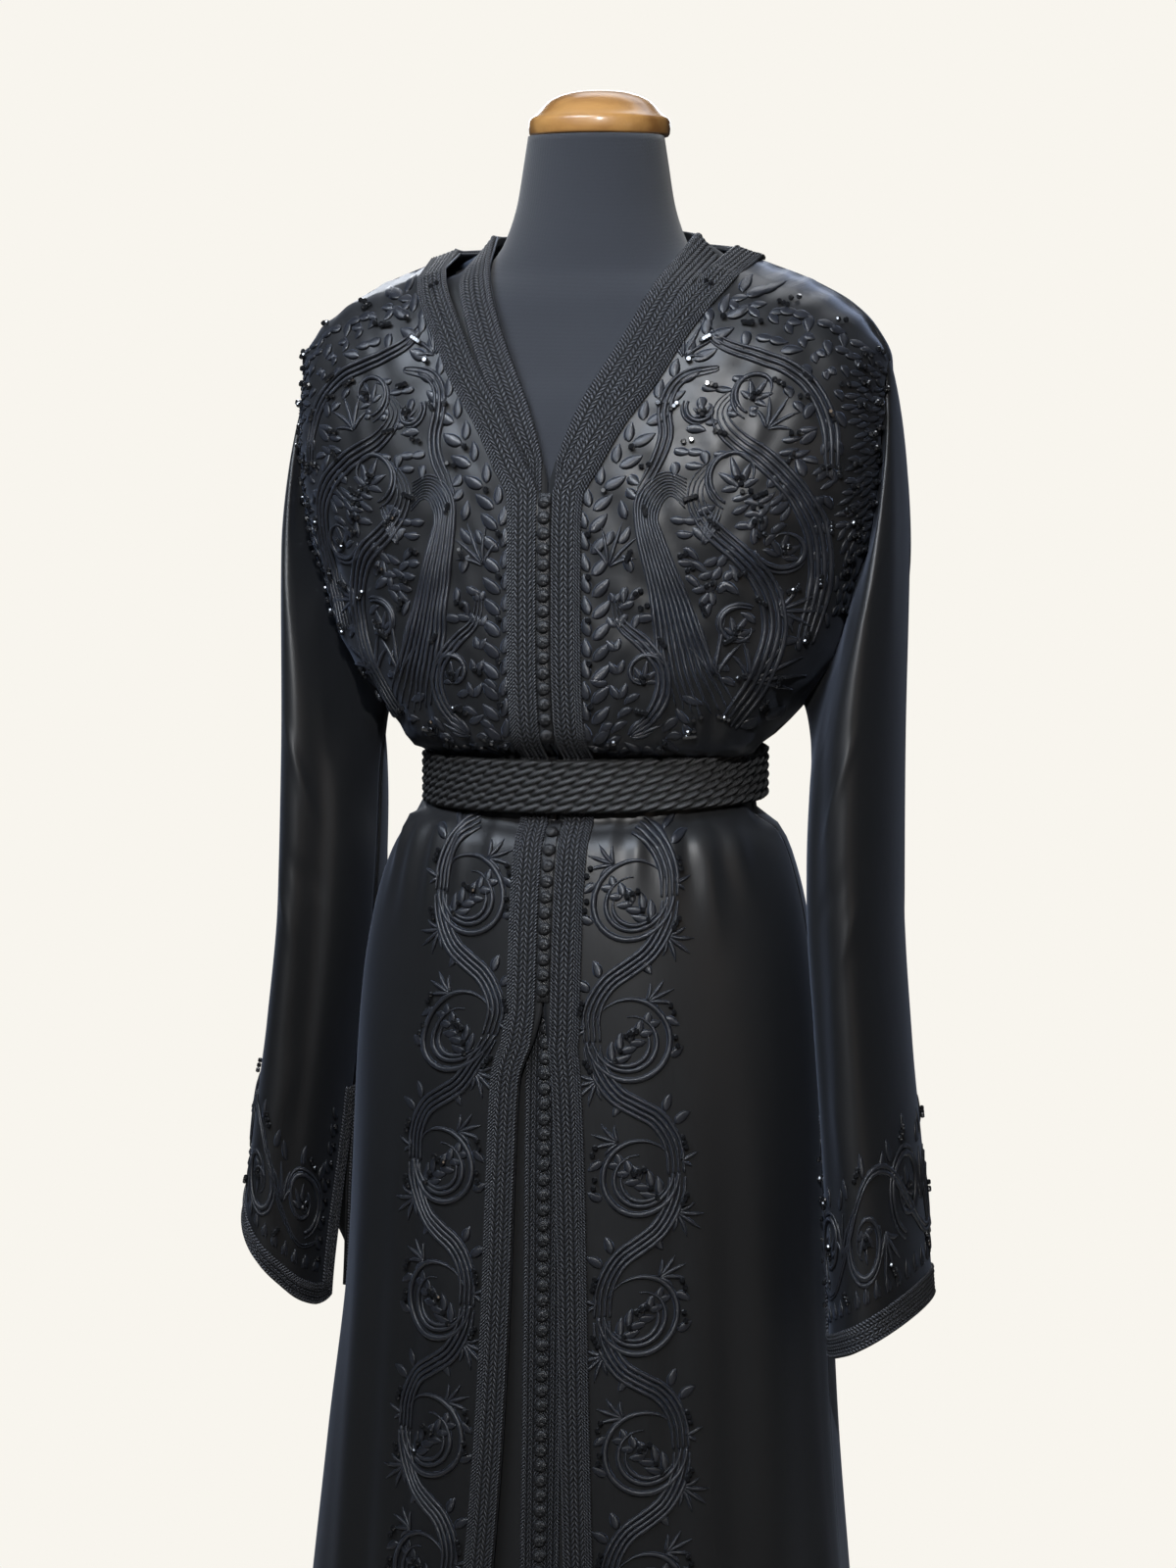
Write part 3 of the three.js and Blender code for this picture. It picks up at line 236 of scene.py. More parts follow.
# %% [markdown]
# Satin is woven so that long warp threads lie on top, which gives a soft streaky gloss along
# the warp and hides the weave itself. The paint therefore uses noise stretched along the
# warp for gloss and relief, a fine cross thread, and slow cloudy changes of shine.
# %% Satin
def satin(name, depth, roughness):
    """Black satin: gloss from stretched noise, relief from threads 0.7 mm apart."""
    paint = Paint(
        name, Specular_IOR_Level=0.5, Sheen_Weight=0.1, Sheen_Roughness=0.4,
        Sheen_Tint=(0.6, 0.72, 1.0, 1.0),
    )
    threads = paint.streaks(1400, 60, 2.0)
    cloudy = paint.streaks(9, 4, 4.0)
    weave = paint.streaks(2200, 2200, 1.0)
    shade = threads * 0.4 + cloudy * 0.6
    colour = paint.mix(shade, grey(depth * 0.7, 0.98), grey(depth * 1.35, 1.12))
    gloss = roughness + (cloudy - 0.5) * 0.12 + (threads - 0.5) * 0.10
    bump = paint.relief(threads * 0.7 + weave * 0.3, 0.00012, 0.5)
    soft = paint.relief(cloudy, 0.004, 0.25, bump)
    return paint.done(Base_Color=colour, Roughness=gloss, Normal=soft)


outer_satin = satin("outer_satin", 0.011, 0.44)
inner_satin = satin("inner_satin", 0.007, 0.62)
print("satins:", outer_satin.name, inner_satin.name)

# %% [markdown]
# The flat braid is plaited from many silk cords. Across it lie four columns of slanted
# stitches, two chevrons side by side, between fine twisted cords. Modelling each stitch would
# take millions of faces, so the braid's own map, in millimetres across and along, feeds a
# formula for the stitches, and the formula gives both relief and colour. The colour is
# painted light: a painted highlight on the tops of stitches and cords, painted shade in the grooves.
# %% Braid and cord
def stripes(value):
    """Rounded ridges, one for each whole number: the sine of pi times the fraction."""
    return (value.math("FRACT") * np.pi).math("SINE")


def braid(name, first, last, columns, pitch, depth):
    """Chevron stitches between two places across, twisted cords outside them."""
    paint = Paint(name, Specular_IOR_Level=0.55)
    across, along = paint.map_in_mm()
    column = (across - first) * (columns / (last - first))
    chevron = column.math("PINGPONG", 1.0)
    stitch = stripes(along / pitch + chevron * 0.95) ** 0.8
    groove = stripes(column) ** 0.4
    plait = stitch * groove
    twist = stripes(along / 2.4 + across / 2.2) ** 0.8
    inside = across.math("GREATER_THAN", first) * across.math("LESS_THAN", last)
    height = inside * plait + (1.0 - inside) * twist
    fuzz = paint.grains(900, 2.0)
    # lit is painted light: the taller a stitch or cord, the brighter its colour, a painted highlight on
    # tops and painted shade in the grooves
    lit = (height * 0.9 + fuzz * 0.1) ** 2.0
    colour = paint.mix(lit, grey(depth * 0.01, 1.1), grey(depth * 3.2, 1.25))
    bump = paint.relief(height * 0.9 + fuzz * 0.1, 0.0014, 1.0)
    return paint.done(Base_Color=colour, Roughness=0.74 - lit * 0.42, Normal=bump)


outer_braid_paint = braid("outer_braid_silk", 2.7, 15.6, 4, 3.9, 0.018)
inner_braid_paint = braid("inner_braid_silk", 2.2, 10.8, 4, 3.4, 0.018)
cuff_braid_paint = braid("cuff_braid_silk", 1.8, 9.6, 4, 3.4, 0.028)


def twisted(name, pitch, depth):
    """A cord of twisted yarn: slanted ridges along and across the cord's own map."""
    paint = Paint(name, Specular_IOR_Level=0.55)
    across, along = paint.map_in_mm()
    yarn = stripes(along / pitch + across / (pitch * 1.15)) ** 0.5
    fuzz = paint.grains(1200, 2.0)
    # lit is painted light: ridges of the twist get a lighter colour as painted highlight, the grooves
    # between them a darker one as painted shade
    lit = yarn * 0.75 + fuzz * 0.25
    colour = paint.mix(lit, grey(depth * 0.25, 1.1), grey(depth * 1.7, 1.15))
    bump = paint.relief(lit, 0.0004, 0.9)
    return paint.done(Base_Color=colour, Roughness=0.60 - lit * 0.30, Normal=bump)


def belt_cord(name, pitch, depth):
    """The same twisted cord, darker where the mesh's own relief value is low: painted shade in the gaps,
    painted glints on the lobes.
    """
    paint = Paint(name, Specular_IOR_Level=0.55)
    across, along = paint.map_in_mm()
    high = paint.node("ShaderNodeAttribute", {"attribute_name": "relief"}, out=2)
    yarn = stripes(across / pitch - along / (pitch * 0.9)) ** 0.6
    fuzz = paint.grains(1200, 2.0)
    # painted light: colour falls with the relief value, so gaps are painted near black as shade and lobe
    # crowns painted bright as glints
    lit = (yarn * 0.7 + fuzz * 0.3) * high ** 2.2
    colour = paint.mix(lit, grey(depth * 0.02, 1.1), grey(depth * 3.4, 1.05))
    bump = paint.relief(yarn * 0.7 + fuzz * 0.3, 0.0007, 1.0)
    return paint.done(Base_Color=colour, Roughness=0.62 - lit * 0.44, Normal=bump)


belt_paint = belt_cord("belt_cord_silk", 1.7, 0.038)
knot_paint = twisted("knot_silk", 1.6, 0.013)
print("braids and cords:", outer_braid_paint.name, belt_paint.name, knot_paint.name)

# %% [markdown]
# Embroidery here is satin stitch over a padding cord: silk threads laid side by side across
# the line they cover. Light runs along each thread, so the stitches shine brighter than the
# cloth; their colour adds a painted highlight, lighter and bluer, on each cord's crown and
# thread, and painted shade down its sides. The map of each stitched line runs along it and across it.
# %% Satin stitch
def satin_stitch(name, depth):
    """Threads 0.62 mm apart laid a little aslant; the crown is 1 - (across / 3) squared."""
    paint = Paint(
        name, Specular_IOR_Level=0.6, Sheen_Weight=0.1, Sheen_Roughness=0.3,
        Sheen_Tint=(0.55, 0.68, 1.0, 1.0),
    )
    across, along = paint.map_in_mm()
    thread = stripes(along / 0.62 + across * 0.2) ** 0.7
    uneven = paint.grains(300, 2.0)
    crown = 1.0 - across * across / 9.0
    # lit is painted light: colour brightens towards each cord's crown and on each thread as a painted
    # highlight, and falls near black at the sides as painted shade
    lit = (thread * 0.5 + uneven * 0.5) * crown
    colour = paint.mix(lit, grey(depth * 0.02, 1.1), grey(depth * 2.2, 1.4))
    bump = paint.relief(lit, 0.00025, 0.8)
    gloss = 0.56 - crown * 0.22 - thread * 0.06
    return paint.done(Base_Color=colour, Roughness=gloss, Normal=bump)


stitch_paint = satin_stitch("embroidery_silk", 0.015)


def cut_glass(name):
    """Black glass beads: nearly black, very smooth, with faint dust in the gloss."""
    paint = Paint(name, Specular_IOR_Level=0.9, Coat_Weight=1.0, Coat_Roughness=0.03)
    dust = paint.grains(700, 2.0)
    colour = paint.mix(dust, grey(0.004, 1.1), grey(0.012, 1.3))
    return paint.done(Base_Color=colour, Roughness=0.05 + dust * 0.12)


bead_paint = cut_glass("bead_glass")
print("stitch and beads:", stitch_paint.name, bead_paint.name)

# %% [markdown]
# The form is covered with a dull plain cloth, the cap is turned wood under varnish, and the
# stand is painted steel. Wood shows rings where the lathe cut across its growth, so its paint
# bends a wave pattern with noise. All three read the object's own place.
# %% Form cloth, wood and painted steel
def form_cloth():
    """A matt slate cloth: two crossed thread waves and slow clouds of wear."""
    paint = Paint("form_weave", Specular_IOR_Level=0.25, Sheen_Weight=0.25, Sheen_Roughness=0.6)
    x, y, z = paint.split(paint.place(scale=(1000, 1000, 1000)))
    thread = stripes(z / 0.9) * stripes((x + y * 0.7) / 0.9)
    fibre = paint.grains(700, 3.0)
    cloudy = paint.grains(11, 3.0)
    shade = thread * 0.25 + fibre * 0.4 + cloudy * 0.35
    colour = paint.mix(shade, (0.012, 0.0134, 0.0175, 1), (0.026, 0.0293, 0.0375, 1))
    bump = paint.relief(thread * 0.5 + fibre * 0.5, 0.0003, 0.6)
    return paint.done(Base_Color=colour, Roughness=0.86 + fibre * 0.1, Normal=bump)


def turned_wood():
    """Varnished wood: growth rings as a wave bent by noise, with fine darker pores."""
    paint = Paint("turned_wood", Coat_Weight=0.5, Coat_Roughness=0.18)
    place = paint.place(scale=(9, 30, 30), turn=(0.3, 0.5, 0.2))
    bend = paint.noise(place, 3.0, 1.3)
    x, y, z = paint.split(place)
    rings = ((y + z * 0.4 + bend * 2.2) * 5.0).math("SINE") * 0.5 + 0.5
    pores = paint.noise(paint.place(scale=(60, 900, 900)), 3.0)
    grain = rings * 0.65 + pores * 0.35
    colour = paint.mix(grain, (0.47, 0.245, 0.075, 1), (0.23, 0.098, 0.024, 1))
    bump = paint.relief(pores, 0.0002, 0.35)
    return paint.done(Base_Color=colour, Roughness=0.34 + pores * 0.18, Normal=bump)


def painted_steel():
    """Black paint with a fine orange-peel skin and rubbed, duller patches."""
    paint = Paint(
        "painted_steel", Metallic=0.0, Specular_IOR_Level=0.5, Coat_Weight=0.25, Coat_Roughness=0.2,
    )
    skin = paint.grains(420, 2.0)
    rubbed = paint.grains(14, 4.0)
    colour = paint.mix(rubbed, grey(0.012, 1.05), grey(0.026, 1.05))
    bump = paint.relief(skin, 0.0002, 0.3)
    return paint.done(Base_Color=colour, Roughness=0.32 + rubbed * 0.22, Normal=bump)


form_paint, wood_paint, steel_paint = form_cloth(), turned_wood(), painted_steel()
print("hard finishes:", form_paint.name, wood_paint.name, steel_paint.name)

# %% [markdown]
# Garments have few sharp corners: a pattern maker joins a handful of measures with a smooth
# line. The curve here does the same. It passes through each value of a table, and its slope
# at a value is the harmonic mean of the slopes on both sides, so it never overshoots.
# %% A smooth curve through a table
def smooth(places, values):
    """Cubic pieces between the places; tangent = 2ab/(a+b) of neighbouring slopes a and b."""
    places, values = np.array(places, float), np.array(values, float)
    slope = np.diff(values) / np.diff(places)
    before, after = slope[:-1], slope[1:]
    same = before * after > 0
    total = np.where(same, before + after, 1.0)
    tangent = np.concatenate([slope[:1], np.where(same, 2 * before * after / total, 0.0), slope[-1:]])

    def at(place):
        place = np.clip(place, places[0], places[-1])
        i = np.clip(np.searchsorted(places, place, side="right") - 1, 0, len(places) - 2)
        span = places[i + 1] - places[i]
        t = (place - places[i]) / span
        rise = values[i + 1] - values[i]
        return (
            values[i] + rise * t * t * (3 - 2 * t)
            + span * t * (1 - t) * (tangent[i] * (1 - t) - tangent[i + 1] * t)
        )

    return at


def columns(rows):
    """One smooth curve for each column of a table, over its first column."""
    table = np.array(rows, float)
    return [smooth(table[:, 0], table[:, k]) for k in range(table.shape[1])]


def mix(a, b, t):
    return a + (b - a) * t


def ease(t):
    """0 before 0, 1 after 1, and 3tt - 2ttt between, which starts and stops gently."""
    t = np.clip(t, 0, 1)
    return t * t * (3 - 2 * t)


def unit(vectors):
    """Vectors divided by their own length."""
    return vectors / np.maximum(np.linalg.norm(vectors, axis=-1, keepdims=True), 1e-12)


print("halfway from 0 to 10:", smooth([0, 1], [0, 10])(0.5))

# %% [markdown]
# Form, inner dress and outer dress are each a stack of level sections. A section is nearly
# an ellipse: half its width to the side, one depth in front and another behind. The height
# may differ between side, front and back, which lets the shoulders slope.
# %% Sections of the form and both dresses
def sections(rows):
    """Rows of nine numbers; one of six has the same height all round."""
    return [row if len(row) == 9 else row[:1] * 4 + row[1:] for row in rows]


# level, height at the side, in front, behind, half-width, ahead, behind, squareness, lean
FORM_ROWS = sections([
    [735, 140, 91, 98, 2.1, 0], [745, 147, 97, 104, 2.1, 0], [800, 150, 101, 107, 2.1, 0],
    [860, 149, 103, 108, 2.1, 0], [920, 141, 102, 104, 2.1, 0], [980, 124, 94, 94, 2.1, 0],
    [1014, 109, 87, 86, 2, 0], [1045, 102, 82.5, 81.5, 2, 0], [1068, 104, 85, 82, 2, 0],
    [1090, 112, 92, 86, 2.1, 0], [1140, 126, 103, 90, 2.1, 0], [1190, 139, 111, 93, 2.1, 0],
    [1230, 155, 114, 95, 2.1, 0], [1270, 172, 107, 94, 2.2, 0],
    [1310, 1308, 1308, 1308, 180, 96, 90, 2.3, 0], [1340, 1334, 1330, 1336, 181, 83, 80, 2.3, 0],
    [1360, 1350, 1347, 1357, 172, 74, 73, 2.2, 0], [1376, 1366, 1364, 1375, 157, 66, 68, 2.1, 0],
    [1392, 1381, 1381, 1393, 134, 60, 65, 2, 0], [1404, 1390, 1392, 1404, 108, 54, 61, 2, 0],
    [1416, 1402, 1403, 1414, 82, 48, 58, 2, 0], [1430, 1421, 1423, 1430, 65, 44, 58, 2, 0],
    [1450, 1449, 1449, 1450, 56, 40, 60, 2, 0], [1475, 51.5, 37, 60, 2, 0],
    [1497, 48, 35, 58, 2, 0],
])
OUTER_ROWS = sections([
    [14, 238, 190, 212, 2, 16], [160, 226, 178, 199, 2, 15], [300, 214, 166, 186, 2, 14],
    [440, 201, 154, 172, 2, 12.5], [560, 189, 146, 160, 2, 11], [690, 178, 139, 151, 2, 6.5],
    [830, 171.5, 134, 142, 2, 4.7], [900, 165.5, 130, 136, 2, 4.7], [950, 157.5, 125, 129, 2, 4],
    [985, 148, 119, 121, 2, 3], [1012, 134.5, 110.5, 111, 2, 1], [1025, 115.2, 95.6, 95.1, 2, 0],
    [1048, 117, 97, 97, 2, 0], [1071, 117.5, 98, 97.5, 2, 0], [1077, 128, 112, 107, 2, 0],
    [1085, 137, 119, 112, 2, 0], [1105, 155, 124, 116, 2.1, 0], [1137, 178, 127, 119, 2.2, 0],
    [1183, 194, 127, 119, 2.3, 0], [1225, 207, 126, 116, 2.4, 0], [1265, 211, 121, 112, 2.5, 0],
    [1303, 212, 112, 107, 2.6, 0], [1341, 1341, 1336, 1346, 211, 102, 101, 2.5, 0],
    [1362, 1364, 1360, 1372, 200, 93, 94, 2.4, 0], [1378, 1380, 1377, 1391, 184, 85, 88, 2.3, 0],
    [1392, 1395, 1390, 1406, 158, 76, 82, 2.1, 0], [1401, 1407, 1400, 1418, 128, 73, 80, 2, 0],
    [1408, 1417, 1406, 1426, 100, 70, 77, 2, 0],
])
INNER_ROWS = sections([
    [30, 222, 174, 196, 2, 14], [300, 203, 155, 174, 2, 12], [560, 180, 137, 150, 2, 9],
    [690, 170, 131, 142, 2, 5], [830, 164, 126, 134, 2, 4], [900, 158, 121, 128, 2, 3],
    [950, 149, 116, 120, 2, 3], [985, 139, 110, 112, 2, 2], [1010, 125, 101, 102, 2, 1],
    [1025, 110.5, 90, 89.5, 2, 0], [1048, 109.5, 89.5, 89, 2, 0], [1071, 111, 91, 89.5, 2, 0],
    [1085, 119, 98, 93, 2, 0], [1105, 126, 104, 97, 2.1, 0], [1140, 136, 111, 99, 2.1, 0],
    [1183, 148, 118, 101, 2.2, 0], [1225, 163, 120, 103, 2.2, 0], [1265, 179, 114, 102, 2.3, 0],
    [1303, 193, 105, 99, 2.4, 0], [1341, 1340, 1335, 1344, 196, 92, 91, 2.5, 0],
    [1362, 1359, 1355, 1368, 187, 82, 83, 2.4, 0],
    [1378, 1375, 1373, 1385, 171, 74.5, 77, 2.2, 0],
    [1392, 1389, 1388, 1401, 147, 68, 72, 2.1, 0], [1401, 1398, 1399, 1411, 116, 61, 67, 2, 0],
    [1410, 1407, 1409, 1420, 91, 55, 63.5, 2, 0], [1420, 1428, 1426, 1437, 72, 50, 64, 2, 0],
])
SKIRT_WAVES = [[5, 0.4, 5], [8, 1.9, 4.5], [13, 0.2, 2.5]]


def skirt_folds(angle, level):
    """Sum of cosine waves round the skirt, growing to the hem with the power 1.3."""
    share = np.clip((1000 - level) / 990, 0, 1) ** 1.3
    reach = sum(size * np.cos(count * angle + turn) for count, turn, size in SKIRT_WAVES)
    return reach * share * ease(np.abs(angle) / 0.35)


def body_surface(rows, folds=0.0):
    """x = width * sin to the 2/n, y = depth * cos to the 2/n, height mixed by sin squared."""
    _, side, front, back, wide, ahead, behind, square, lean = columns(rows)

    def surface(angle, level):
        s, c = np.sin(angle), np.cos(angle)
        power = 2 / square(level)
        across = np.sign(s) * np.abs(s) ** power
        swell = 1 + folds * skirt_folds(angle, level) / wide(level)
        depth = np.where(c > 0, -ahead(level), behind(level))
        height = np.where(c > 0, front(level), back(level))
        x = (wide(level) * across - lean(level) * s * s) * swell
        y = depth * np.abs(c) ** power * swell
        z = side(level) * s * s + height * c * c
        return np.stack(np.broadcast_arrays(x, y, z), -1)

    return surface


def surface_normals(surface, angle, level):
    """Cross product of the step rightwards and the step upwards."""
    right = surface(angle + 0.01, level) - surface(angle - 0.01, level)
    up = surface(angle, level + 2) - surface(angle, level - 2)
    return unit(np.cross(right, up))


form_body = body_surface(FORM_ROWS)
outer_body = body_surface(OUTER_ROWS, 1.0)
inner_body = body_surface(INNER_ROWS, 0.9)
print("outer dress in front at the belt, mm:", outer_body(0.0, 1048.0).round(1))

# %% [markdown]
# Blender keeps a mesh as flat lists: corner places, then faces that name corners. Filling
# those lists from whole arrays is many times faster than adding corners one by one. A map
# (UV) goes in the same way, one pair for each corner of each face, here in metres.
# %% Arrays into a mesh
def grid_quads(rows, cols, around=False, flip=False, first=0):
    """Corner numbers of the squares of a grid: (i, j), (i, j+1), (i+1, j+1), (i+1, j)."""
    i = np.arange(rows - 1)[:, None]
    j = np.arange(cols if around else cols - 1)[None, :]
    k = (j + 1) % cols
    corners = (i * cols + j, i * cols + k, (i + 1) * cols + k, (i + 1) * cols + j)
    quads = np.stack(np.broadcast_arrays(*corners), -1).reshape(-1, 4) + first
    return quads[:, ::-1] if flip else quads


def make_piece(name, points, faces, paint, uv, nodes=(), flat=False, relief=None):
    """A mesh piece from points in millimetres and arrays of faces, dressed and riding."""
    mesh = bpy.data.meshes.new(name)
    places = (np.asarray(points).reshape(-1, 3) + SHIFT) * MM
    loops = np.concatenate([f.ravel() for f in faces])
    sizes = np.concatenate([np.full(len(f), f.shape[1]) for f in faces])
    starts = np.concatenate([[0], np.cumsum(sizes)[:-1]])
    mesh.vertices.add(len(places))
    mesh.vertices.foreach_set("co", places.astype(np.float32).ravel())
    mesh.loops.add(len(loops))
    mesh.loops.foreach_set("vertex_index", loops.astype(np.int32))
    mesh.polygons.add(len(sizes))
    mesh.polygons.foreach_set("loop_start", starts.astype(np.int32))
    corner_uv = np.asarray(uv).reshape(-1, 2)[loops] * MM
    layer = mesh.uv_layers.new(name="UVMap")
    layer.data.foreach_set("uv", corner_uv.astype(np.float32).ravel())
    if relief is not None:
        own = mesh.attributes.new("relief", "FLOAT", "POINT")
        own.data.foreach_set("value", relief.astype(np.float32).ravel())
    mesh.update(calc_edges=True)
    mesh.polygons.foreach_set("use_smooth", np.full(len(sizes), not flat))
    mesh.materials.append(paint)
    piece = bpy.data.objects.new(name, mesh)
    bpy.context.collection.objects.link(piece)
    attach(piece, "root")
    if nodes:
        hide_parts(*nodes)
    print(f"{name}: {len(places)} corners, {len(sizes)} faces")
    return piece


def with_wall(piece, wall):
    """Gives a single layer a wall inwards from its shown side, with closed edges."""
    solid = piece.modifiers.new("wall", "SOLIDIFY")
    solid.thickness = wall * MM
    solid.offset = -1
    solid.use_rim = True
    return piece


# %% [markdown]
# Everything sewn to the gown has to lie on the cloth, folds and all. So each panel is kept
# as a grid of points, and a place on it is asked for by level and by the distance from its
# front edge. The answer is blended from the four nearest grid points, with its normal.
# %% A panel that can be asked for places
MARK_STEP = 2.0


class Cloth:
    """A panel as a grid: rows climb it, columns run across it from its first edge."""

    def __init__(self, points, rows, outwards=None):
        self.points = points
        self.rows = rows
        normals = unit(np.cross(np.gradient(points, axis=1), np.gradient(points, axis=0)))
        hint = points - points.mean(axis=1, keepdims=True) if outwards is None else outwards
        self.flip = float((normals * hint).sum()) < 0
        self.normals = -normals if self.flip else normals
        steps = np.linalg.norm(np.diff(points, axis=1), axis=-1)
        self.walk = np.concatenate([np.zeros((len(points), 1)), np.cumsum(steps, axis=1)], axis=1)
        rise = np.linalg.norm(np.diff(points, axis=0), axis=-1)
        self.climb = np.concatenate([np.zeros((1, points.shape[1])), np.cumsum(rise, axis=0)])
        marks = np.arange(0, self.walk.max() + 2 * MARK_STEP, MARK_STEP)
        count = np.arange(points.shape[1])
        self.column = np.array([np.interp(marks, walk, count) for walk in self.walk])

    def blend(self, table, row, column):
        """Values of a table between grid places: the four nearest, weighed by nearness."""
        row = np.clip(row, 0, table.shape[0] - 1.001)
        column = np.clip(column, 0, table.shape[1] - 1.001)
        i, j = row.astype(int), column.astype(int)
        s, t = row - i, column - j
        if table.ndim == 3:
            s, t = s[..., None], t[..., None]
        low = mix(table[i, j], table[i, j + 1], t)
        high = mix(table[i + 1, j], table[i + 1, j + 1], t)
        return mix(low, high, s)

    def at(self, row, column):
        row, column = np.broadcast_arrays(np.array(row, float), np.array(column, float))
        return self.blend(self.points, row, column), unit(self.blend(self.normals, row, column))

    def beside(self, distance, level):
        """Place so many millimetres from the first edge, at a level."""
        distance, level = np.broadcast_arrays(np.array(distance, float), np.array(level, float))
        row = np.interp(level, self.rows, np.arange(len(self.rows)))
        return self.at(row, self.blend(self.column, row, distance / MARK_STEP))

    def uv(self):
        return np.stack([self.walk, self.climb], -1)

    def sizes(self):
        """Width, length and area of the cloth as cut, in metres, read off the grid."""
        step_right = np.diff(self.points, axis=1)[:-1]
        step_up = np.diff(self.points, axis=0)[:, :-1]
        area = np.linalg.norm(np.cross(step_right, step_up), axis=-1).sum()
        return self.walk.max() * MM, self.climb.max() * MM, area * MM * MM


# %% [markdown]
# Soft cloth shows where it is held: short gathers fan out above and below the belt, longer
# hollows run from the armhole to the waist, and the skirt falls in shallow flutes. Each is
# one line in a table, from one place to another, with its own width and depth. A gather is
# deepest where it starts; a fold fades at both ends.
# %% Creases
CREASE_WIDE, GATHER_DEEP, FOLD_DEEP = 1.15, 1.9, 1.5  # how much fuller than in the tables


def crease(x, z, table, held=False):
    """Depth times exp(-(distance to the line / width) squared), faded along the line."""
    total = np.zeros(np.broadcast(x, z).shape)
    for x0, z0, x1, z1, width, depth in table:
        run, climb = x1 - x0, z1 - z0
        t = np.clip(((x - x0) * run + (z - z0) * climb) / (run * run + climb * climb), 0, 1)
        far = (x - x0 - t * run) ** 2 + (z - z0 - t * climb) ** 2
        fade = ease((1 - t) / 0.95) if held else ease(t / 0.4) * ease((1 - t) / 0.5)
        total += depth * np.exp(-far / (CREASE_WIDE * width) ** 2) * fade
    return total


# x and z of both ends, width, depth outwards; x grows to the wearer's left
GATHERS = {
    1: [
        [44, 1070, 47, 1112, 4.0, 1.2], [57, 1071, 62, 1100, 3.6, 1.5], [70, 1071, 79, 1128, 5, 2.2],
        [82, 1071, 93, 1110, 4.2, 2.0], [93, 1071, 111, 1148, 6, 3.0], [103, 1071, 121, 1118, 4.4, 2.4],
        [111, 1072, 138, 1158, 6.5, 3.2], [117, 1073, 150, 1132, 5, 2.4],
        [40, 1026, 41, 985, 4, 0.9], [58, 1026, 62, 962, 5, 1.6], [69, 1026, 74, 992, 3.6, 1.5],
        [79, 1026, 88, 940, 5.5, 2.4], [89, 1026, 100, 985, 4, 2.0], [98, 1026, 115, 925, 6, 2.7],
        [106, 1026, 124, 978, 4.2, 2.2], [112, 1026, 136, 950, 5, 2.4],
    ],
    -1: [
        [42, 1070, 44, 1104, 3.8, 1.1], [54, 1071, 57, 1122, 4.6, 1.7], [68, 1071, 74, 1102, 3.8, 1.6],
        [79, 1071, 91, 1136, 5.6, 2.6], [91, 1071, 102, 1108, 4.2, 2.2], [101, 1071, 121, 1152, 6.4, 3.2],
        [109, 1072, 128, 1120, 4.4, 2.3], [116, 1073, 147, 1150, 6, 3.0],
        [43, 1026, 44, 975, 4, 1.0], [55, 1026, 58, 1000, 3.6, 1.3], [66, 1026, 72, 950, 5.2, 2.0],
        [77, 1026, 83, 992, 3.8, 1.8], [86, 1026, 98, 935, 5.6, 2.7], [96, 1026, 108, 988, 4, 2.2],
        [104, 1026, 122, 930, 6.2, 3.0], [111, 1026, 131, 975, 4.6, 2.5], [114, 1026, 142, 940, 5, 2.2],
    ],
}
FOLDS = {
    1: [
        [196, 1270, 150, 1120, 11, -3.4], [176, 1262, 128, 1138, 8, -1.6], [188, 1215, 140, 1098, 10, 2.6],
        [120, 1215, 168, 1232, 15, 1.2], [60, 1228, 118, 1206, 12, 0.8],
        [64, 985, 78, 300, 15, 1.4], [96, 975, 124, 120, 17, 2.6], [84, 880, 100, 380, 11, -1.5],
        [128, 960, 170, 60, 19, 3.2], [116, 900, 146, 240, 12, -2.2], [154, 930, 196, 120, 13, -2.4],
        [44, 820, 52, 40, 14, 1.6], [30, 560, 36, 20, 9, -1.0],
    ],
    -1: [
        [198, 1262, 146, 1112, 12, -3.6], [170, 1248, 122, 1126, 8, -1.8], [190, 1205, 146, 1092, 9, 2.2],
        [112, 1200, 160, 1226, 15, 1.4], [56, 1215, 110, 1190, 12, 0.8],
        [72, 985, 92, 260, 15, 1.8], [104, 978, 138, 80, 18, 2.8], [90, 900, 116, 300, 11, -1.8],
        [132, 968, 182, 120, 17, 3.2], [120, 860, 160, 200, 12, -2.2], [150, 940, 205, 60, 15, -2.6],
        [50, 760, 96, 40, 15, 1.8],
    ],
}
BACK_GATHERS = [
    [14, 1071, 16, 1118, 4.6, 1.4], [34, 1071, 38, 1136, 5, 2.0], [52, 1071, 60, 1108, 4.2, 1.8],
    [70, 1071, 82, 1146, 6, 2.8], [88, 1071, 104, 1118, 4.6, 2.3], [104, 1072, 128, 1150, 6.4, 3.0],
    [-8, 1071, -9, 1106, 4.0, 1.3], [-26, 1071, -30, 1142, 5.2, 2.1], [-46, 1071, -52, 1112, 4.4, 1.9],
    [-62, 1071, -73, 1150, 6, 2.8], [-82, 1071, -96, 1116, 4.6, 2.2], [-99, 1072, -121, 1144, 6.2, 3.0],
    [8, 1026, 9, 960, 5, 1.6], [24, 1026, 27, 990, 4, 1.7], [40, 1026, 47, 930, 6, 2.6],
    [56, 1026, 63, 985, 4.2, 2.0], [72, 1026, 86, 925, 6, 2.8], [90, 1026, 106, 975, 4.6, 2.3],
    [104, 1026, 128, 930, 6, 2.6], [-10, 1026, -12, 985, 4.4, 1.6], [-28, 1026, -32, 945, 5.6, 2.3],
    [-44, 1026, -50, 988, 4, 1.9], [-62, 1026, -73, 920, 6.2, 2.9], [-80, 1026, -92, 980, 4.4, 2.2],
    [-97, 1026, -118, 935, 6, 2.7], [-111, 1026, -134, 965, 4.8, 2.2],
]
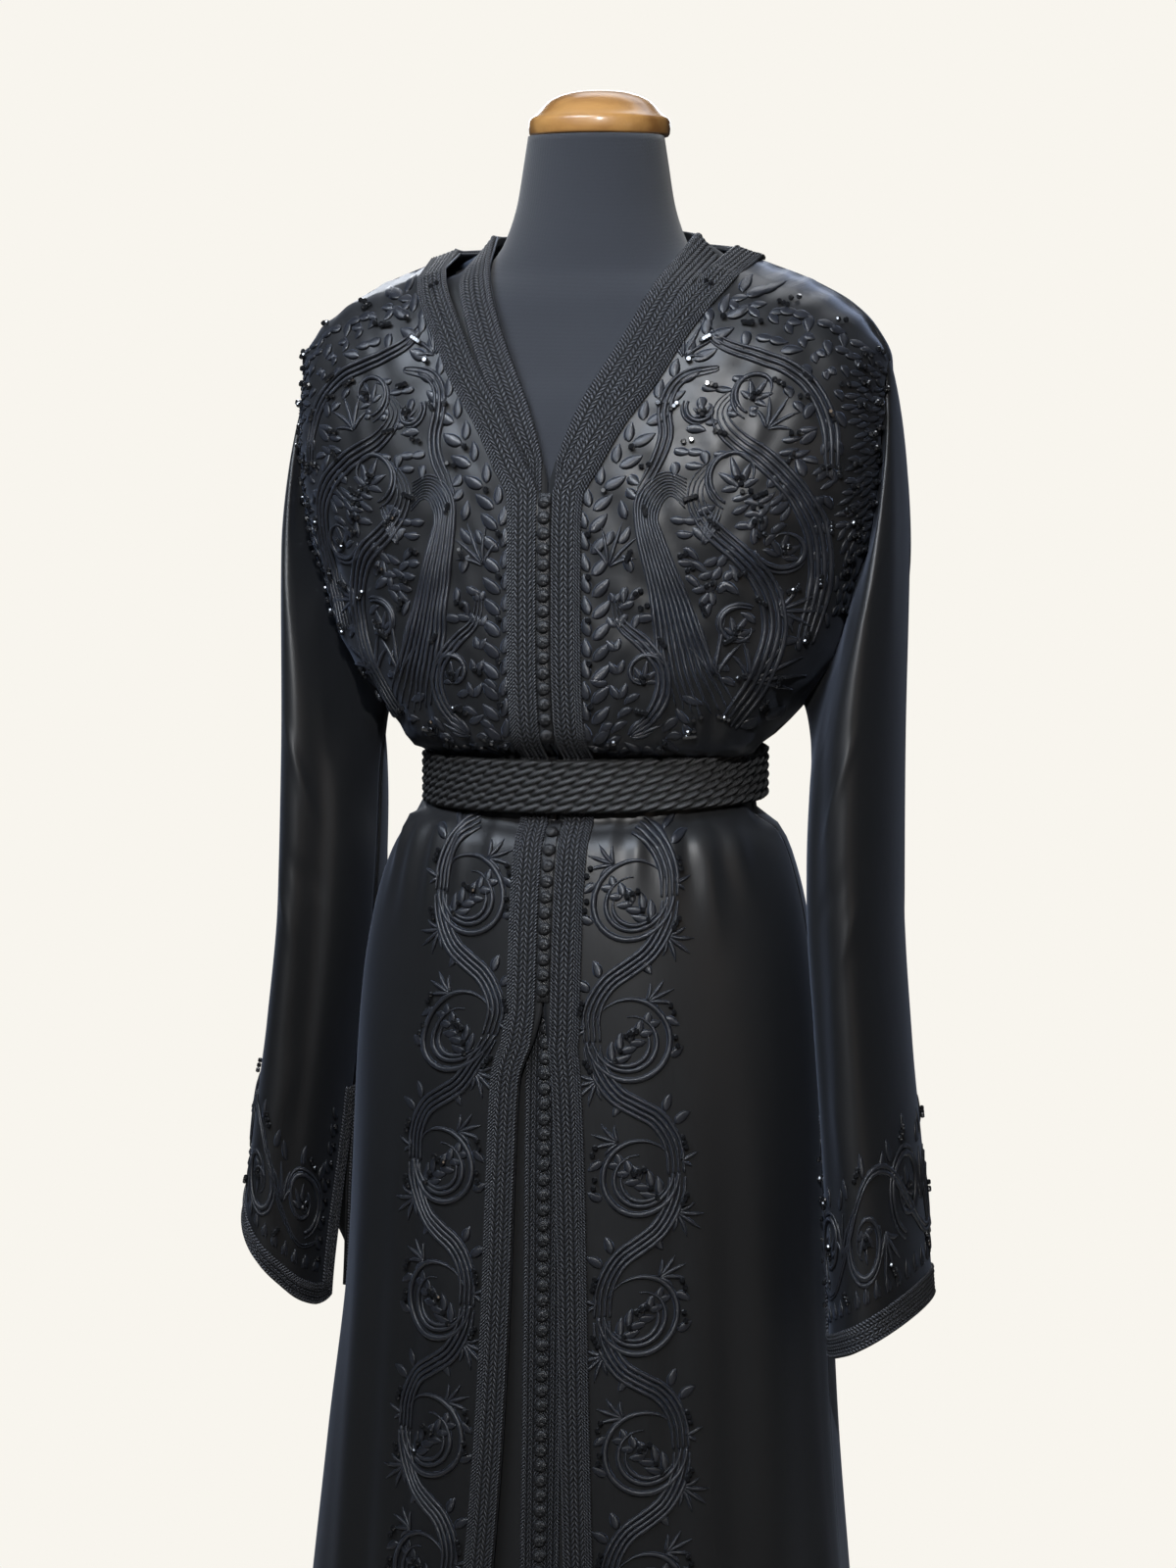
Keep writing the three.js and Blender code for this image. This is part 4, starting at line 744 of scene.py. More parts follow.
BACK_FOLDS = [
    [18, 985, 26, 60, 19, 2.8], [52, 960, 74, 200, 17, 3.0], [36, 900, 50, 120, 12, -2.2],
    [92, 975, 132, 60, 20, 3.6], [72, 880, 104, 240, 13, -2.6], [136, 950, 186, 100, 18, 3.2],
    [-20, 985, -34, 160, 17, 2.6], [-54, 970, -80, 50, 19, 3.2], [-38, 880, -58, 260, 12, -2.4],
    [-96, 965, -142, 140, 18, 3.4], [-74, 900, -110, 80, 14, -2.6], [-138, 955, -192, 60, 18, 3.4],
    [0, 860, -4, 40, 12, -1.8],
    [176, 1262, 116, 1110, 12, -3.2], [-178, 1254, -120, 1104, 12, -3.4], [120, 1300, 40, 1246, 20, 1.6],
    [-116, 1306, -46, 1238, 20, 1.6], [70, 1200, 96, 1110, 12, 2.0], [-66, 1212, -92, 1112, 12, 2.2],
]


def ripple(x, z, size):
    """Small puckers: the product of two sine waves that bend each other."""
    first = np.sin(x / 4.6 + 1.5 * np.sin(z / 19.0)) * np.sin(z / 6.1 + 1.8 * np.sin(x / 15.0))
    return size * (first + 0.6 * np.sin((x + z) / 7.3 + 2.0 * np.sin((x - z) / 23.0)))


print("gathers and folds in front:", sum(len(t) for t in (*GATHERS.values(), *FOLDS.values())))

# %% [markdown]
# The front edges of both dresses follow the photograph: closed from chest to thigh, a V
# above, and an opening below that shows the inner dress. The armhole is a narrow pointed
# opening at the side, and the rows of a front panel fall from its edge to the armhole.
# %% The two dresses
SEAM = 0.25
UNDERARM, SHOULDER = 1098, 1341
NECK, INNER_NECK = 1408, 1420
RIGHT_ANGLE = np.pi / 2
# level, distance of the panel's edge from the middle on the left and on the right
OUTER_EDGE = [
    [14, 80, 50], [300, 50, 30], [565, 27, 17], [674, 22, 13], [777, 19, 10], [848, 16, 6.6],
    [880, 5, 3], [900, 0.6, 0.6], [1236, 0.6, 0.6], [1253, 5, 5], [1270, 15, 15], [1303, 33, 33],
    [1337, 53, 53], [1370, 74, 74], [1395, 91, 91], [1408, 100, 100],
]
INNER_EDGE = [
    [30, 0.6, 0.6], [1258, 0.6, 0.6], [1270, 4, 4], [1303, 15, 15], [1337, 29, 29], [1370, 46, 46],
    [1402, 62, 62], [1420, 72, 72],
]
# level at the front edge, level where the same row meets the side seam, armhole or shoulder
OUTER_FALL = [
    [14, 14], [1098, 1098], [1130, 1125], [1170, 1155], [1212, 1190], [1253, 1225], [1305, 1265],
    [1357, 1303], [1408, 1341],
]
INNER_FALL = [[30, 30], [1140, 1140], [1212, 1183], [1262, 1225], [1315, 1265], [1370, 1303], [1420, 1341]]


class Dress:
    """A dress: its surface, its edges and its armhole, as the panels share them."""

    def __init__(self, surface, rows, edge, fall, low, ahead, behind, shoulder):
        sections = columns(rows)
        self.hem = edge[0][0]
        self.surface = surface
        self.wide, self.square = sections[4], sections[7]
        edges = columns(edge)
        self.edge = {-1: edges[1], 1: edges[2]}
        self.fall = columns(fall)[1]
        self.low, self.ahead, self.behind = low, ahead, behind
        self.neck = edge[-1][0]
        self.shoulder = smooth([0, 1 / 3, 2 / 3, 1], shoulder)

    def angle_at(self, distance, level):
        """Angle of a point so far from the middle: arcsin of (distance/width) to the n/2."""
        share = np.minimum(distance / self.wide(level), 1)
        return np.arcsin(share ** (self.square(level) / 2))

    def side_angle(self, level, reach):
        opening = np.sin(np.pi * np.clip((level - self.low) / (SHOULDER - self.low), 0, 1))
        return reach * np.maximum(opening, 0) ** 0.6 + SEAM / self.wide(level)

    def front(self, side, levels, shares):
        """Angle and height of a front panel's grid."""
        level, share = levels[:, None], shares[None, :]
        far = self.fall(level)
        start = self.angle_at(self.edge[side](level), level)
        end = RIGHT_ANGLE - self.side_angle(far, self.ahead)
        return side * mix(start, end, share), mix(level, far, share)

    def back(self, levels, shares):
        """Angle and height of the back panel's grid; the top row is shoulders and neck."""
        level, share = levels[:, None], shares[None, :]
        half, sign = np.abs(share * 2 - 1), np.where(share < 0.5, -1, 1)
        corner = 4 / 7  # share of the half panel that is neck; the rest is shoulder

        def plain(height):
            far = self.fall(height)
            return mix(np.pi, RIGHT_ANGLE + self.side_angle(far, self.behind), half), far

        here, last = plain(level), plain(np.array([[self.neck]]))
        seam = RIGHT_ANGLE + SEAM / self.wide(self.neck)
        top = mix(np.pi, seam, np.clip(half / corner, 0, 1))
        top_high = self.shoulder(np.clip((half - corner) / (1 - corner), 0, 1))
        blend = np.clip((level - self.low) / (self.neck - self.low), 0, 1) ** 1.6
        return sign * (here[0] + blend * (top - last[0])), here[1] + blend * (top_high - last[1])


outer_dress = Dress(
    outer_body, OUTER_ROWS, OUTER_EDGE, OUTER_FALL, UNDERARM, 0.15, 0.27, [NECK, 1397, 1374, SHOULDER],
)
inner_dress = Dress(
    inner_body, INNER_ROWS, INNER_EDGE, INNER_FALL, 1140, 0.45, 0.42, [INNER_NECK, 1402, 1377, SHOULDER],
)


def near_edges(walk, climb, first, others=24.0):
    """1 in the middle of a panel and 0 at its seams, over so many millimetres."""
    from_end = (walk[:, -1:] - walk) / others
    from_start = walk / first if first else np.ones_like(walk)
    from_top = (climb[-1:] - climb) / others
    return ease(from_end) * ease(from_start) * ease(from_top)


def front_panel(dress, side, rows, cols, gathers, folds, puckers):
    """Base surface plus creases along the normal, none of them at the seams."""
    levels = np.linspace(dress.hem, dress.neck, rows)
    angle, height = dress.front(side, levels, np.linspace(0, 1, cols))
    base = dress.surface(angle, height)
    cloth = Cloth(base, levels, base * [1, 1, 0])
    x, z = side * base[..., 0], base[..., 2]
    zone = ease((cloth.walk - 24) / 12) * ease((225 - cloth.walk) / 30) * ease((z - 1070) / 20)
    relief = GATHER_DEEP * crease(x, z, gathers, True) + FOLD_DEEP * crease(x, z, folds)
    relief = relief * near_edges(cloth.walk, cloth.climb, 0) + ripple(x, z, puckers) * zone
    return Cloth(base + cloth.normals * relief[..., None], levels, base * [1, 1, 0])


def back_panel(dress, rows, cols, gathers, folds):
    """The same for a back panel, with its creases faded at both side seams."""
    levels = np.linspace(dress.hem, dress.neck, rows)
    angle, height = dress.back(levels, np.linspace(0, 1, cols))
    base = dress.surface(angle, height)
    cloth = Cloth(base, levels, base * [1, 1, 0])
    x, z = base[..., 0], base[..., 2]
    relief = crease(x, z, gathers, True) + crease(x, z, folds)
    relief = relief * near_edges(cloth.walk, cloth.climb, 24.0)
    return Cloth(base + cloth.normals * relief[..., None], levels, base * [1, 1, 0])


WORDS = {-1: "left", 1: "right"}
PUCKERS = 0.8
outer_front = {s: front_panel(outer_dress, s, 232, 84, GATHERS[s], FOLDS[s], PUCKERS) for s in WORDS}
outer_back = back_panel(outer_dress, 140, 112, BACK_GATHERS, BACK_FOLDS)
inner_front = {s: front_panel(inner_dress, s, 130, 22, [], [], 0.0) for s in WORDS}
inner_back = back_panel(inner_dress, 100, 40, [], [])
print("front panel, width, length, area in m:", [round(v, 3) for v in outer_front[1].sizes()])

# %% [markdown]
# Each panel is now put into a mesh and given its wall of cloth on the inner side, by the
# Solidify modifier. How large each panel was cut, read off the grid, is printed as it is made.
# %% Panels of both dresses
WALL = 1.6


def sew(node, cloth, paint):
    """Makes a panel in place of its solid, and states the size and area of its cut."""
    rows, cols = cloth.points.shape[:2]
    quads = grid_quads(rows, cols, flip=cloth.flip)
    piece = make_piece(node + "_cloth", cloth.points, [quads], paint, cloth.uv(), [node])
    with_wall(piece, WALL)
    width, length, area = cloth.sizes()
    print(f"{node}: cut {width:.3f} by {length:.3f} m, {area:.3f} square metres")


for side, word in WORDS.items():
    sew(f"inner_front_{word}", inner_front[side], inner_satin)
    sew(f"outer_front_{word}", outer_front[side], outer_satin)
sew("inner_back", inner_back, inner_satin)
sew("outer_back", outer_back, outer_satin)

# %% [markdown]
# An empty sleeve hangs as a flattened tube with one long fold, where the arm would be. Each
# ring of the tube starts on the armhole of the dress and is blended into a narrow upright
# ellipse further down. The underarm seam stays open near the wrist, as a slit.
# %% Sleeves
# place, top height, underside height, outer reach, inner reach, middle, half-depth, bow
SLEEVE_ROWS = [
    [0, 1341, 1100, 213, 158, 6, 36, 24], [0.06, 1318, 1085, 218, 159, 5, 46, 20],
    [0.15, 1272, 1062, 222, 160, 0, 60, 12], [0.3, 1180, 1010, 224, 160, -4, 70, 3],
    [0.45, 1080, 945, 223.5, 162, -8, 73, 0], [0.6, 975, 870, 224, 169, -11, 74, 0],
    [0.75, 880, 795, 231, 176, -15, 75, 0], [0.88, 800, 725, 241, 181, -18, 76, 0],
    [1, 722, 654, 249, 184, -20, 78, 0],
]
SLEEVE_SIDE = {
    -1: {"top": 14, "under": 2, "out": 2, "in": 6, "fold": 0.19, "deep": 9},
    1: {"top": -38, "under": -6, "out": 0, "in": -2, "fold": 0.17, "deep": 8},
}
ARMHOLE_EDGE = [1098, 1130, 1170, 1212, 1253, 1305, 1357, 1376, 1393, 1408]
ARMHOLE_LEVELS = outer_dress.fall(np.array(ARMHOLE_EDGE, float))
armhole_level = smooth(np.linspace(0, 1, len(ARMHOLE_LEVELS)), ARMHOLE_LEVELS)
SLIT = 0.72
CUFF_AROUND, SLEEVE_LONG = 370.0, 520.0
FOLD_PAPER = 700  # length of the drawing on which the folds below are placed
SLEEVE_GRID = (112, 78)
# turn times CUFF_AROUND and place times FOLD_PAPER of both ends, width, depth
SLEEVE_FOLDS = [
    [60, 40, 84, 150, 9, 2.0], [96, 30, 112, 120, 10, -2.2], [40, 90, 66, 230, 8, -1.6],
    [118, 250, 70, 300, 9, 1.8], [60, 330, 116, 372, 8, -1.5], [128, 380, 80, 430, 9, 1.4],
    [150, 60, 158, 300, 12, 1.4], [250, 40, 236, 220, 12, 2.4], [290, 90, 262, 330, 12, -2.4],
    [230, 300, 280, 380, 10, 1.8], [210, 420, 262, 470, 9, -1.5], [310, 240, 320, 460, 12, 2.0],
    [72, 470, 96, 610, 9, 1.2],
]


def armhole(side, turn):
    """Angle and level round the armhole, from the underarm by the front to the shoulder."""
    own = armhole_level(np.where(turn < 0.5, 2 * turn, 2 - 2 * turn))
    level = np.clip(own, UNDERARM + 3, SHOULDER - 1)
    opening = np.sin(np.pi * np.clip((own - UNDERARM) / (SHOULDER - UNDERARM), 0, 1))
    reach = np.where(turn < 0.5, outer_dress.ahead, outer_dress.behind)
    full = reach * np.maximum(opening, 0) ** 0.6
    gap = np.maximum(full - 4 * SEAM / outer_dress.wide(level), 0)
    return side * (RIGHT_ANGLE + np.where(turn < 0.5, -gap, gap)), level


def sleeve_surface(side, turn, place):
    """An upright ellipse for each place, blended with the armhole near the shoulder."""
    _, top, under, outer, inner, middle, deep, bow = [c(place) for c in columns(SLEEVE_ROWS)]
    own = SLEEVE_SIDE[side]
    high, low = top + own["top"] * place ** 4, under + own["under"] * place ** 4
    out, near = outer + own["out"] * place, inner + own["in"] * place
    angle = np.pi * (1 - 2 * turn)
    swing = np.cos(angle)
    sharp = np.exp(-((turn - own["fold"]) / 0.045) ** 2)
    swell = np.exp(-((turn - own["fold"] - 0.13) / 0.08) ** 2)
    fold = ease((place - 0.1) / 0.3) * (1 - 0.6 * ease((place - 0.6) / 0.4))
    press = own["deep"] * fold * (sharp - 0.45 * swell)
    rounded = np.clip(np.minimum(turn, 1 - turn) / 0.09, 0, 1)
    x = side * ((out + near) / 2 + (out - near) / 2 * swing + bow * (1 - swing ** 2))
    y = middle - (deep - press) * np.sin(angle)
    corner = 16 * ease((place - 0.9) / 0.1) * (1 - rounded) ** 2
    z = (high + low) / 2 + (high - low) / 2 * swing + corner
    tube = np.stack(np.broadcast_arrays(x, y, z), -1)
    start = outer_dress.surface(*armhole(side, turn))
    return mix(start, tube, ease(place / 0.22)[..., None])


def make_sleeve(side):
    """The tube's grid, open along the wrist slit, with its own folds raised on it."""
    places, turns = np.linspace(0, 1, SLEEVE_GRID[0]), np.linspace(0, 1, SLEEVE_GRID[1])
    place, turn = np.meshgrid(places, turns, indexing="ij")
    gap = 0.001 + 0.03 * ease((place - SLIT) / (1 - SLIT)) ** 1.2
    base = sleeve_surface(side, mix(gap, 1 - gap, turn), place)
    cloth = Cloth(base, places)
    seams = ease(place / 0.08) * ease(np.minimum(turn, 1 - turn) / 0.05) * ease((1 - place) / 0.06)
    relief = crease(CUFF_AROUND * turn, FOLD_PAPER * place, SLEEVE_FOLDS) * seams
    return Cloth(base + cloth.normals * relief[..., None], places)


sleeve = {side: make_sleeve(side) for side in WORDS}
for side, word in WORDS.items():
    sew(f"sleeve_{word}", sleeve[side], outer_satin)

# %% [markdown]
# The form under the gown is a padded torso with a short neck, covered in dull cloth. Its
# rings are the same sections as above, each moved out by 1 mm of padding where the inner
# dress rests on it. Cap, foot and pole are turned: one outline swept round an upright axis.
# %% Form, cap, foot and pole
FORM_PADDING = 1.0
NECK_MIDDLE = 11.5
CAP_ROWS = [
    [1497.3, 46.5], [1497.5, 48.6], [1499, 49.6], [1503, 50], [1507, 50], [1509.2, 49.3],
    [1510.4, 47.9], [1511.4, 46.2], [1514, 43.2], [1518, 39.8], [1521.5, 36.4], [1524.5, 31],
    [1526.8, 25], [1528.3, 18], [1529, 9],
]
BASE_ROWS = [
    [0, 157], [0.8, 159], [3, 160], [8, 160], [10.6, 159], [12, 156], [13, 140], [14, 62], [15.4, 52],
    [20, 34], [30, 28.5], [46, 26], [49, 25], [50, 23],
]
POLE_ROWS = [[50.3, 13.4], [51, 14], [734, 14], [734.7, 13.4]]


def closed_stack(name, rings, paint, node):
    """Rings of points joined by squares, with one flat face at each end; UV runs round and up."""
    rows, cols = rings.shape[:2]
    quads = grid_quads(rows, cols, around=True)
    low, high = np.arange(cols)[None, ::-1], np.arange(cols)[None, :] + (rows - 1) * cols
    around = np.linalg.norm(np.diff(rings, axis=1, append=rings[:, :1]), axis=-1).cumsum(axis=1)
    up = np.broadcast_to(rings[..., 2], around.shape)
    return make_piece(name, rings, [quads, low, high], paint, np.stack([around, up], -1), [node])


def full_turn(count):
    """So many equal steps of a full turn, without the last."""
    return np.linspace(0, 2 * np.pi, count, endpoint=False)


def lathe(rows, middle, stretch=1.0):
    """x = r sin a, y = middle - r cos a, z = height, for a full turn of a."""
    table = np.array(rows, float)
    angle = full_turn(96)[None, :]
    height, radius = table[:, :1], table[:, 1:2]
    ring = (radius * np.sin(angle), middle - radius * stretch * np.cos(angle), height)
    return np.stack(np.broadcast_arrays(*ring), -1)


turn_about = full_turn(84)[None, :]
form_level = np.concatenate([np.linspace(735, 1360, 64), np.linspace(1364, 1497, 30)])[:, None]
padding = FORM_PADDING * ease((form_level - 745) / 40) * ease((1452 - form_level) / 24)
form_rings = form_body(turn_about, form_level)
form_rings = form_rings + surface_normals(form_body, turn_about, form_level) * padding[..., None]
closed_stack("torso_under_cloth", form_rings, form_paint, "form_torso")
closed_stack("neck_cap", lathe(CAP_ROWS, NECK_MIDDLE, 0.97), wood_paint, "form_cap")
closed_stack("foot_plate", lathe(BASE_ROWS, POLE_MIDDLE), steel_paint, "form_base")
closed_stack("stand_pole", lathe(POLE_ROWS, POLE_MIDDLE), steel_paint, "form_pole")

# %% [markdown]
# Braids, strips and stitched lines are all the same kind of thing: a path on the cloth, a
# section across it, and a height above it. So one helper lays any grid of heights on a cloth
# and closes it underneath. Its map runs across and along, for the paints above.
# %% Laying trims on cloth
LIFT = 0.35


class Trim:
    """Collects closed strips, then makes one mesh piece of them all."""

    def __init__(self):
        self.points, self.faces, self.maps, self.count = [], [], [], 0

    def strip(self, point, normal, height, across, along, under=0.0):
        """A grid of places raised by height, its underside on the cloth, and closed rims."""
        rows, cols = point.shape[:2]
        top = point + normal * (LIFT + height)[..., None]
        bottom = point + normal * (LIFT + under)
        first, second = self.count, self.count + rows * cols
        upper = grid_quads(rows, cols, first=first)
        grow = np.cross(np.gradient(point, axis=1), np.gradient(point, axis=0))
        turned = float((grow * normal).sum()) < 0
        ring = np.concatenate([
            np.arange(cols - 1), np.arange(rows - 1) * cols + cols - 1,
            (rows - 1) * cols + np.arange(cols - 1, 0, -1), np.arange(rows - 1, 0, -1) * cols,
        ])
        after = np.roll(ring, -1)
        rim = np.stack([ring + second, after + second, after + first, ring + first], -1)
        lower = grid_quads(rows, cols, flip=True, first=second)
        faces = np.concatenate([upper, lower, rim])
        places = np.concatenate([top.reshape(-1, 3), bottom.reshape(-1, 3)])
        maps = np.stack(np.broadcast_arrays(across, along), -1).reshape(-1, 2)
        self.add(places, faces[:, ::-1] if turned else faces, np.tile(maps, (2, 1)))

    def add(self, points, faces, maps):
        self.points.append(points)
        self.faces.append(faces)
        self.maps.append(maps)
        self.count += len(points)

    def make(self, name, paint, node):
        sizes = sorted({f.shape[1] for f in self.faces})
        faces = [np.concatenate([f for f in self.faces if f.shape[1] == size]) for size in sizes]
        points, maps = np.concatenate(self.points), np.concatenate(self.maps)
        make_piece(name, points, faces, paint, maps, [node])


def half_round(places, cords):
    """Height of round cords lying side by side: each is the upper half of an ellipse."""
    height = np.zeros_like(places)
    for middle, half, low, high in cords:
        t = np.clip((places - middle) / half, -1, 1)
        own = np.where(np.abs(t) < 1, low + (high - low) * np.sqrt(1 - t * t), 0)
        height = np.maximum(height, own)
    return height


# middle, half-width, height at the edge and at the crown of each cord or chevron column
OUTER_CORDS = [
    [1.3, 1.3, 0.5, 2.35], [4.3, 1.62, 1.1, 1.85], [7.5, 1.62, 1.1, 1.85], [10.8, 1.62, 1.1, 1.85],
    [14.0, 1.62, 1.1, 1.85], [16.5, 0.9, 0.8, 2.2], [18.3, 0.9, 0.8, 2.3], [20.1, 0.9, 0.5, 2.2],
]
INNER_CORDS = [
    [1.1, 1.1, 0.4, 1.75], [3.3, 1.08, 0.8, 1.45], [5.45, 1.08, 0.8, 1.5], [7.6, 1.08, 0.8, 1.5],
    [9.7, 1.08, 0.8, 1.45], [11.9, 1.1, 0.4, 1.75],
]
CUFF_CORDS = [
    [0.9, 0.9, 0.4, 1.75], [2.8, 0.98, 0.8, 1.4], [4.75, 0.98, 0.8, 1.45], [6.7, 0.98, 0.8, 1.45],
    [8.65, 0.98, 0.8, 1.4], [10.6, 0.95, 0.5, 1.75], [12.8, 1.15, 0.4, 1.75],
]


def section_of(cords, wide):
    """Places across a flat braid: edges, crowns and shoulders of each cord, and its heights."""
    marks = [[m - h + 0.02, m - 0.7 * h, m, m + 0.7 * h, m + h - 0.02] for m, h, _, _ in cords]
    across = np.unique(np.clip(np.concatenate(marks), 0, wide))
    return across, np.maximum(half_round(across, cords), 0.35)


print("places across the outer braid:", len(section_of(OUTER_CORDS, 21)[0]))

# %% [markdown]
# The front braid follows the edge of its panel up to the shoulder and goes on behind the
# neck. A row of the panel slopes, so a step along it covers less of the braid's true width;
# the step is lengthened by one over the sine of the angle between row and edge.
# %% Braids along the fronts
BRAID_ROWS = 170
NECK_STEPS = 80


def walked(points, axis):
    """Length walked along an axis of a grid of points, starting at nothing."""
    steps = np.linalg.norm(np.diff(points, axis=axis), axis=-1).cumsum(axis=axis)
    return np.concatenate([np.zeros_like(np.take(steps, [0], axis)), steps], axis=axis)


def front_braid(node, dress, side, cloth, setback, cords, wide, paint, behind_rows, fuller=1.0):
    """Rows up the panel's edge, then rows round the neck to the middle of the back."""
    across, height = section_of(cords, wide)
    level = np.linspace(dress.hem, dress.neck - 0.1, BRAID_ROWS)[:, None]
    rise = unit(np.gradient(cloth.points[:, 0], axis=0))
    along_row = unit(cloth.points[:, 2] - cloth.points[:, 0])
    sine = np.sqrt(np.maximum(1 - (rise * along_row).sum(axis=1) ** 2, 0.25))
    stretch = 1 / np.interp(level, cloth.rows, sine)
    edge = dress.edge[side](level) if dress is inner_dress else dress.edge[1](level)
    back = np.where(level > 880, np.maximum(setback - edge, 0.4), 0.4)
    broad = mix(1.0, fuller, ease((level - 1262) / 40))
    front_place, front_normal = cloth.beside((back + across * broad) * stretch, level)
    turn = np.linspace(0, 1, behind_rows)[:, None]
    angle = mix(RIGHT_ANGLE + 0.012, np.pi - 0.006, turn)
    fine = np.linspace(0, wide * fuller * 1.6, NECK_STEPS)[None, :]
    strip = walked(dress.surface(angle, dress.neck - 0.3 - fine), 1)
    down = np.stack([np.interp(across * fuller, row, fine[0]) for row in strip])
    behind = dress.surface(angle, dress.neck - 0.3 - down)
    facing = surface_normals(dress.surface, angle, dress.neck - 0.3 - down)
    behind, facing = behind * [side, 1, 1], facing * [side, 1, 1]
    point = np.concatenate([front_place, behind])
    normal = np.concatenate([front_normal, facing])
    along = walked(point[:, :1], 0)
    from_seam = np.abs(along - along[BRAID_ROWS - 1])
    over_seam = 1.5 * ease((16 - from_seam) / 16)
    trim = Trim()
    trim.strip(point, normal, height + over_seam, across, along)
    trim.make(node + "_silk", paint, node)


for side, word in WORDS.items():
    front_braid(
        f"outer_braid_{word}", outer_dress, side, outer_front[side], 5.3, OUTER_CORDS, 21.0,
        outer_braid_paint, 48,
    )
    front_braid(
        f"inner_braid_{word}", inner_dress, side, inner_front[side], 4.6, INNER_CORDS, 13.0,
        inner_braid_paint, 36, 1.75,
    )

# %% [markdown]
# The cuff braid goes down one edge of the wrist slit, round the hem and up the other edge.
# At each corner its width is laid towards the middle of the corner, as a folded braid is.
# %% Braids round the cuffs
CUFF_WIDE = 14.0
SLIT_ROWS, CORNER_ROWS, HEM_ROWS = 38, 7, 54
FROM_SLIT, FROM_HEM = 0.8, 0.6


def on_sleeve(side):
    """A sleeve's own paper: x round from the slit and y up from the hem, in millimetres."""
    def place(x, y):
        row = (1 - y / SLEEVE_LONG) * (SLEEVE_GRID[0] - 1)
        return sleeve[side].at(row, x / CUFF_AROUND * (SLEEVE_GRID[1] - 1))

    return place


def cuff_braid(side, word):
    """Rows across the braid, from its outer edge (share 0) to its inner edge (share 1)."""
    across, height = section_of(CUFF_CORDS, CUFF_WIDE)
    share = across / CUFF_WIDE
    down_slit = np.linspace((1 - SLIT + 0.01) * SLEEVE_LONG, CUFF_WIDE, SLIT_ROWS)
    along_hem = np.linspace(CUFF_WIDE, CUFF_AROUND / 2, HEM_ROWS)
    outer_x = [
        np.full(SLIT_ROWS + CORNER_ROWS, FROM_SLIT),
        np.linspace(FROM_SLIT, CUFF_WIDE, CORNER_ROWS + 1)[1:], along_hem,
    ]
    outer_y = [
        down_slit, np.linspace(CUFF_WIDE, FROM_HEM, CORNER_ROWS + 1)[1:],
        np.full(CORNER_ROWS + HEM_ROWS, FROM_HEM),
    ]
    inner_x = [np.full(SLIT_ROWS + 2 * CORNER_ROWS, CUFF_WIDE), along_hem]
    inner_y = [down_slit, np.full(2 * CORNER_ROWS + HEM_ROWS, CUFF_WIDE)]
    ends = [np.concatenate(part)[:, None] for part in (outer_x, outer_y, inner_x, inner_y)]
    x, y = mix(ends[0], ends[2], share), mix(ends[1], ends[3], share)
    x, y = np.concatenate([x, CUFF_AROUND - x[-2::-1]]), np.concatenate([y, y[-2::-1]])
    point, normal = on_sleeve(side)(x, y)
    along = walked(point[:, 8:9], 0)
    trim = Trim()
    trim.strip(point, normal, height + 0 * along, across, along)
    trim.make(f"cuff_braid_{word}_silk", cuff_braid_paint, f"cuff_braid_{word}")


for side, word in WORDS.items():
    cuff_braid(side, word)

# %% [markdown]
# The gown is closed by many small knots of cord, one above the other on a narrow strip. Each
# knot is a flattened ball, a little wider than high, with a bright crown. All knots are
# copies of one small ball, set in a row on the strip by adding arrays.
# %% Knot buttons on their strip
BUTTON_PITCH = 10.5
KNOT_TURNS, KNOT_RINGS = 12, 6
KNOT_WIDE, KNOT_HIGH = 4.9, 4.45  # half of each
STRIP_WIDE = 4.4  # half of it


def knot_template(high):
    """Rings of a domed knot: width falls as a cosine while height grows as a sine."""
    rise = np.linspace(0.0, 0.98, KNOT_RINGS)[:, None] * RIGHT_ANGLE
    turn = full_turn(KNOT_TURNS)[None, :]
    shrink = np.cos(rise) ** 0.55
    x = KNOT_WIDE * shrink * np.cos(turn)
    y = KNOT_HIGH * shrink * np.sin(turn)
    z = high * np.sin(rise) + 0 * turn
    maps = np.stack(np.broadcast_arrays(turn * 4.2, rise * 5.0), -1)
    return np.stack([x, y, z], -1).reshape(-1, 3), maps.reshape(-1, 2)


def knot_faces():
    quads = grid_quads(KNOT_RINGS, KNOT_TURNS, around=True)
    bottom = np.arange(KNOT_TURNS)[None, ::-1]
    crown = (KNOT_RINGS - 1) * KNOT_TURNS + np.arange(KNOT_TURNS)[None, :]
    return quads, np.concatenate([bottom, crown])


def middle_places(dress, level, across):
    """Points and normals on the closed front, beside the middle line."""
    angle = np.sign(across) * dress.angle_at(np.abs(across), level)
    angle, level = np.broadcast_arrays(angle, level)
    return dress.surface(angle, level), surface_normals(dress.surface, angle, level)


